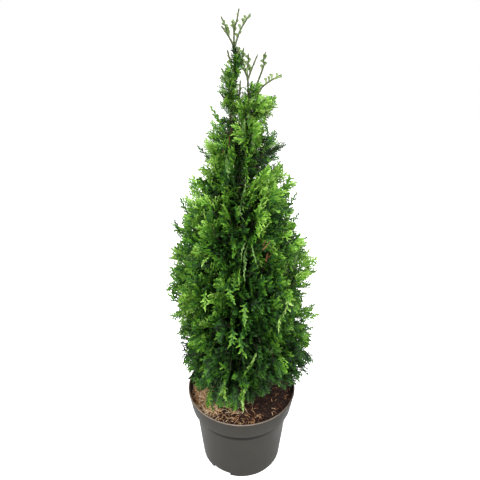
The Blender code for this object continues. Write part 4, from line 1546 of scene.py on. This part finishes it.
    def _clad(self, stem: Limb, low: float, high: float, step: float) -> None:
        """Clads a stem in small upright sprays between two heights."""
        rng = self.rng
        for k in range(int((high - low) / step)):
            azimuth = k * GOLDEN_ANGLE
            foot = stem.at_height(low + k * step)
            way = heading(azimuth, math.radians(rng.uniform(55, 75)))
            flat = Quaternion(way, rng.uniform(-0.6, 0.6)) @ heading(azimuth + math.pi / 2, 0)
            kind = FEATHER if k % 2 else FAN
            size = self.clad_size * rng.uniform(0.8, 1.15)
            self._add(foot, way, flat, size, kind, rng.uniform(-0.2, 1.6))

    def _fill_core(self) -> None:
        """Fills the crown's middle with dark, broad sprays, so that little light comes through; their dark
        tones are painted shade.
        """
        rng = self.rng
        low, high = self.core
        for k in range(self.core_sprays):
            height = low + (high - low) * k / self.core_sprays
            azimuth = k * GOLDEN_ANGLE
            foot = self.wood.trunk.at_height(height) + heading(azimuth, 0) * rng.uniform(0.006, 0.03)
            way = heading(azimuth + rng.uniform(-0.5, 0.5), rng.uniform(0.2, 1.2))
            flat = Vector((rng.gauss(0, 1), rng.gauss(0, 1), rng.gauss(0, 0.4)))
            size = rng.uniform(0.8, 1.15) * min(self.reach(height, azimuth) / 0.115, 1)
            self._add(foot, way, flat.normalized(), size, FILL, rng.uniform(-1, 0.6))

    def build(self) -> None:
        self.grow()
        for number in range(len(self.bands) - 1):
            self._build_band(number)

    def _build_band(self, number: int) -> None:
        """One piece of sprays for a band of the crown's height."""
        low, high = self.bands[number], self.bands[number + 1]
        chosen = [spray for spray in self.sprays if low <= spray.foot.z < high]
        piece = self.grower.scatter(f"sprays_{number + 1}", chosen)
        count = sum(len(p.vertices) - 2 for p in piece.data.polygons)
        LOG.info("%s: %d sprays, %d triangles", piece.name, len(chosen), count)
        nodes = [name for name in frame["nodes"] if name.startswith(f"foliage_tier{number + 1}_")]
        if number == len(self.bands) - 2:
            nodes += [name for name in frame["nodes"] if name.startswith("foliage_") and "tier" not in name]
        declare(piece, Slot.FOLIAGE, *nodes)


@dataclass(frozen=True)
class Sprig:
    """A loose shoot at the top of the plant. Its places are in millimetres."""

    line: tuple[Triple, ...]  # x, y and z from its foot to its tip
    lobes: tuple[Triple, ...]  # share of the line, degrees to the right of it, length
    young: bool = False


@dataclass
class TopShoots:
    """The shoots that the two leaders end in: scaly rods with short, blunt lobes."""

    colours: tuple[Triple, ...] = (  # of stems, shaded lobes, lobes and young lobes
        (0.058, 0.076, 0.03), (0.072, 0.122, 0.032), (0.12, 0.176, 0.058), (0.188, 0.26, 0.1),
    )
    stem_radius: float = 0.00165
    lobe_radius: float = 0.00160
    sprigs: tuple[Sprig, ...] = (
        Sprig(((-12.9, 0, 842), (-14.9, -0.6, 851.1), (-21.9, -2, 863.8), (-24.5, -2.6, 873.5),
               (-32, -4, 888.5)),
              ((0.46, 34, 9), (0.58, 32, 9), (0.7, 32, 7), (0.8, -30, 6), (0.88, 32, 5))),
        Sprig(((-21, -1.8, 862.5), (-26.3, -3, 869.3), (-31.5, -5.5, 875.4)),
              ((0.55, 34, 4), (0.4, -30, 3))),
        Sprig(((-12.9, 0, 842), (-12.6, 0.6, 860), (-11.7, 1.4, 872.8), (-8.2, 2.2, 883.1), (-4.7, 3, 900)),
              ((0.42, 34, 7), (0.5, -30, 6), (0.74, 28, 5), (0.88, -26, 4))),
        Sprig(((-12.2, 1, 866.5), (-13.4, -0.5, 875), (-14.7, -1.5, 882.5)),
              ((0.45, -36, 6), (0.62, 36, 6), (0.86, -32, 4), (0.92, 32, 4)), True),
        Sprig(((-12.9, 0, 842), (-8.5, 0.8, 856), (-2.9, 2, 870), (4.8, 3.4, 882.1), (12.6, 5, 893)),
              ((0.3, -32, 8), (0.42, 34, 6), (0.54, -36, 9), (0.66, -34, 9), (0.78, -34, 9),
               (0.88, 34, 6))),
        Sprig(((-15.7, 0, 816), (-18.4, -2, 826), (-23, -4, 843)),
              ((0.35, -34, 8), (0.55, 30, 5), (0.7, -28, 4))),
        Sprig(((-11.5, 0, 812), (-4.8, -1.5, 824), (-5.2, -3, 834), (-8.4, -3.6, 848)),
              ((0.3, 35, 7), (0.45, 42, 6), (0.62, -34, 6), (0.74, 34, 6), (0.88, 30, 5))),
        Sprig(((-12, 0, 808), (-10.2, 3, 822), (-8, 5, 838), (-3.7, 6, 847)),
              ((0.4, 35, 6), (0.6, -34, 6), (0.8, 34, 5))),
        Sprig(((9, 0, 788), (8.8, 0, 800.4), (4, -1.5, 812), (-0.6, -3, 820.6), (0.3, -3.8, 834),
               (2.6, -4.4, 846)),
              ((0.34, 42, 9), (0.44, 46, 10), (0.53, -34, 9), (0.61, 44, 10), (0.7, -34, 9), (0.78, 42, 9),
               (0.86, -30, 7)), True),
        Sprig(((8.8, 0, 799), (15.4, 1, 816), (24.3, 2.5, 836.5)),
              ((0.3, -32, 9), (0.46, -30, 7), (0.6, 24, 3))),
        Sprig(((8.9, 0.4, 797), (7.6, 2, 811.7), (9.6, 3.5, 824), (9.4, 4, 837.6)),
              ((0.3, -36, 8), (0.42, 38, 9), (0.55, -36, 9), (0.68, 36, 8), (0.82, -32, 7)), True),
        Sprig(((22, 1, 782), (25.3, 1, 796.6), (31, 0, 812), (34, -1, 822), (33.2, -2, 830),
               (36.4, -3, 840)),
              ((0.46, -34, 8), (0.56, 42, 7), (0.66, -38, 7), (0.76, 44, 9), (0.86, -30, 5))),
        Sprig(((19, 1, 768), (30, 0, 786), (38.3, -1, 793.6), (45, -2, 798), (51.8, -3, 801.9),
               (62.5, -4.5, 807.6)),
              ((0.41, -58, 9), (0.55, -56, 9), (0.66, -52, 10), (0.78, 30, 7), (0.84, -40, 7),
               (0.89, 46, 7)), True),
        Sprig(((-21, 0, 800), (-27, -1, 808), (-33, -2, 816.6)), ((0.4, 34, 6), (0.65, -34, 5))),
        Sprig(((-20, 1, 802), (-22, 0.5, 811), (-23.4, 0, 819)), ((0.4, 36, 5), (0.65, -34, 5))),
        Sprig(((-22, -1, 790), (-28, -2, 799), (-33, -3, 806.8)), ((0.45, 34, 6), (0.7, -34, 4))),
        Sprig(((-5, 0, 770), (-3.5, -1, 786), (-2.8, -2, 799)), ((0.45, 34, 6), (0.6, -34, 5))),
    )

    def build(self) -> None:
        leaf = LeafMesh()
        for sprig in self.sprigs:
            self._grow(leaf, sprig)
        piece = new_object("top_shoots", leaf.to_mesh("top_shoots"))
        dress(piece, *(plain_material(f"shoot_{k}", self.colours[k], 0.5, 0.25) for k in range(4)))
        piece.data.polygons.foreach_set("material_index", leaf.ages)
        nodes = [name for name in frame["nodes"] if name.startswith(("foliage_tip", "foliage_crest"))]
        declare(piece, Slot.FOLIAGE, *nodes)

    def _grow(self, leaf: LeafMesh, sprig: Sprig) -> None:
        """Adds one shoot with its lobes."""
        stem = Limb([Vector(point) / 1000 for point in sprig.line], [1.0] * len(sprig.line)).smoothed(5)
        last = len(stem.points) - 1
        radii = [self.stem_radius * (1.0 - 0.3 * k / last) * (1.12 if k % 2 else 0.9)
                 for k in range(last + 1)]
        radii[-1] *= 0.5
        leaf.rod(stem.points, radii, FRONT, 0.8, 6, 0)
        for number, (share, degrees, length) in enumerate(sprig.lobes):
            k = min(int(share * last), last - 1)
            foot = stem.points[k]
            along = (stem.points[k + 1] - foot).normalized()
            side = along.cross(FRONT).normalized()
            turn = math.radians(degrees)
            out = (along * math.cos(turn) + side * math.sin(turn)).normalized()
            out = (out + FRONT * (0.35 if number % 2 else -0.35)).normalized()
            self._lobe(leaf, foot, out, length / 1000, 3 if sprig.young else 2)

    def _lobe(self, leaf: LeafMesh, foot: Vector, out: Vector, length: float, tone: int) -> None:
        """Adds one blunt lobe, and a smaller one beside it where it is long enough."""
        shape = ((0.0, 0.6), (0.3, 0.95), (0.5, 0.85), (0.8, 1.0), (0.95, 0.7), (1.0, 0.25))
        up = (out + UP * 0.4).normalized()
        line = [foot + out.lerp(up, share) * (length * share) for share, _ in shape]
        leaf.rod(line, [self.lobe_radius * wide for _, wide in shape], FRONT, 0.7, 6, tone)
        if length > 0.0055:
            twig = Quaternion(FRONT, math.radians(38)) @ out
            self._lobe(leaf, line[2], twig, length * 0.55, tone - 1)


# ----------------------------------------------------------------- stage


@dataclass(frozen=True)
class Stage:
    """The floor, the backdrop, the lights and the camera."""

    floor_width: float = 8.0
    backdrop_distance: float = 2.6
    backdrop_height: float = 3.0
    curve_radius: float = 1.2
    wall_radius: float = 3.9
    wall_height: float = 4.0
    wall_sides: int = 96
    curve_steps: int = 16
    background: float = 0.40  # strength of the light from all round
    aim: Triple = (0, 0, 0.45)  # where the lamps look to
    camera_place: Triple = (0.0, -0.7246, 0.8469)
    camera_pitch: float = 24.2  # degrees below the horizon
    camera_yaw: float = 0.2665  # degrees to the left
    lens: float = 32.25
    sensor: float = 36.0

    def build(self) -> None:
        """Builds the stage."""
        self._floor()
        self._light()
        self._camera()

    def _floor(self) -> None:
        """The pale floor, curving up into the backdrop."""
        profile = [(-self.floor_width / 2, 0.0)]
        for k in range(self.curve_steps + 1):
            turn = math.pi / 2 * k / self.curve_steps
            profile.append((self.backdrop_distance + self.curve_radius * math.sin(turn),
                            self.curve_radius * (1 - math.cos(turn))))
        profile.append((self.backdrop_distance + self.curve_radius, self.backdrop_height))
        half = self.floor_width / 2
        points = [(x, y, z) for y, z in profile for x in (-half, half)]
        faces = [(2 * k, 2 * k + 1, 2 * k + 3, 2 * k + 2) for k in range(len(profile) - 1)]
        floor = new_object("studio_floor", mesh_from("studio_floor", points, faces))
        floor.data.shade_smooth()
        dress(floor, self._glowing("pale_floor", 0.93, 0.5, Roughness=0.9))
        floor.visible_diffuse = False
        count = self.wall_sides
        turns = [2 * math.pi * k / count for k in range(count)]
        points = [(self.wall_radius * math.cos(turn), self.wall_radius * math.sin(turn), height)
                  for height in (-0.01, self.wall_height) for turn in turns]
        faces = [(k, count + k, count + (k + 1) % count, (k + 1) % count) for k in range(count)]
        wall = new_object("studio_wall", mesh_from("studio_wall", points, faces))
        dress(wall, self._glowing("white_wall", 0.0, 1.0, Specular_IOR_Level=0.0))
        wall.visible_diffuse = wall.visible_glossy = wall.visible_shadow = False

    @staticmethod
    def _glowing(name: str, grey: float, strength: float, **inputs: float) -> Material:
        """A grey finish that gives off white light of its own."""
        return Surface(name).finish(Base_Color=(grey, grey, grey, 1), Emission_Color=(1, 1, 1, 1),
                                    Emission_Strength=strength, **inputs)

    def _light(self) -> None:
        """Soft light from all round, and four large lamps."""
        world = bpy.data.worlds.new("studio")
        world.use_nodes = True
        background = world.node_tree.nodes["Background"]
        background.inputs["Color"].default_value = (1, 1, 1, 1)
        background.inputs["Strength"].default_value = self.background
        bpy.context.scene.world = world
        for name, place, power, size in (
            ("key_lamp", (-1.15, -1.60, 1.8), 62, 0.6),
            ("fill_lamp", (1.15, -1.60, 1.8), 45, 0.6),
            ("top_lamp", (0.0, -0.2, 2.6), 64, 0.8),
            ("back_lamp", (0.6, 1.6, 1.5), 21, 0.8),
        ):
            lamp = bpy.data.lights.new(name, "AREA")
            lamp.energy = power
            lamp.size = size
            holder = new_object(name, lamp)
            holder.location = place
            holder.rotation_euler = (Vector(self.aim) - Vector(place)).to_track_quat("-Z", "Y").to_euler()

    def _camera(self) -> None:
        """The camera in front of the plant, above its middle and looking down."""
        camera = bpy.data.cameras.new("camera")
        camera.lens = self.lens
        camera.sensor_width = self.sensor
        camera.clip_start = 0.05
        holder = new_object("camera", camera)
        holder.location = self.camera_place
        holder.rotation_euler = (math.radians(90 - self.camera_pitch), 0, math.radians(self.camera_yaw))
        bpy.context.scene.camera = holder
        bpy.context.scene.view_settings.view_transform = "Standard"


def main() -> None:
    """Builds the potted plant and its stage."""
    logging.basicConfig(level=logging.INFO, format="%(name)s %(message)s")
    Stage().build()
    NurseryPot().build()
    SoilFill().build()
    wood = WoodyFrame()
    wood.build()
    grower = spray_scatterer()
    crown = Crown(wood, grower)
    crown.build()
    wood.build_twigs(crown.twigs)
    TopShoots().build()
    grower.clear()


if __name__ == "__main__":
    main()
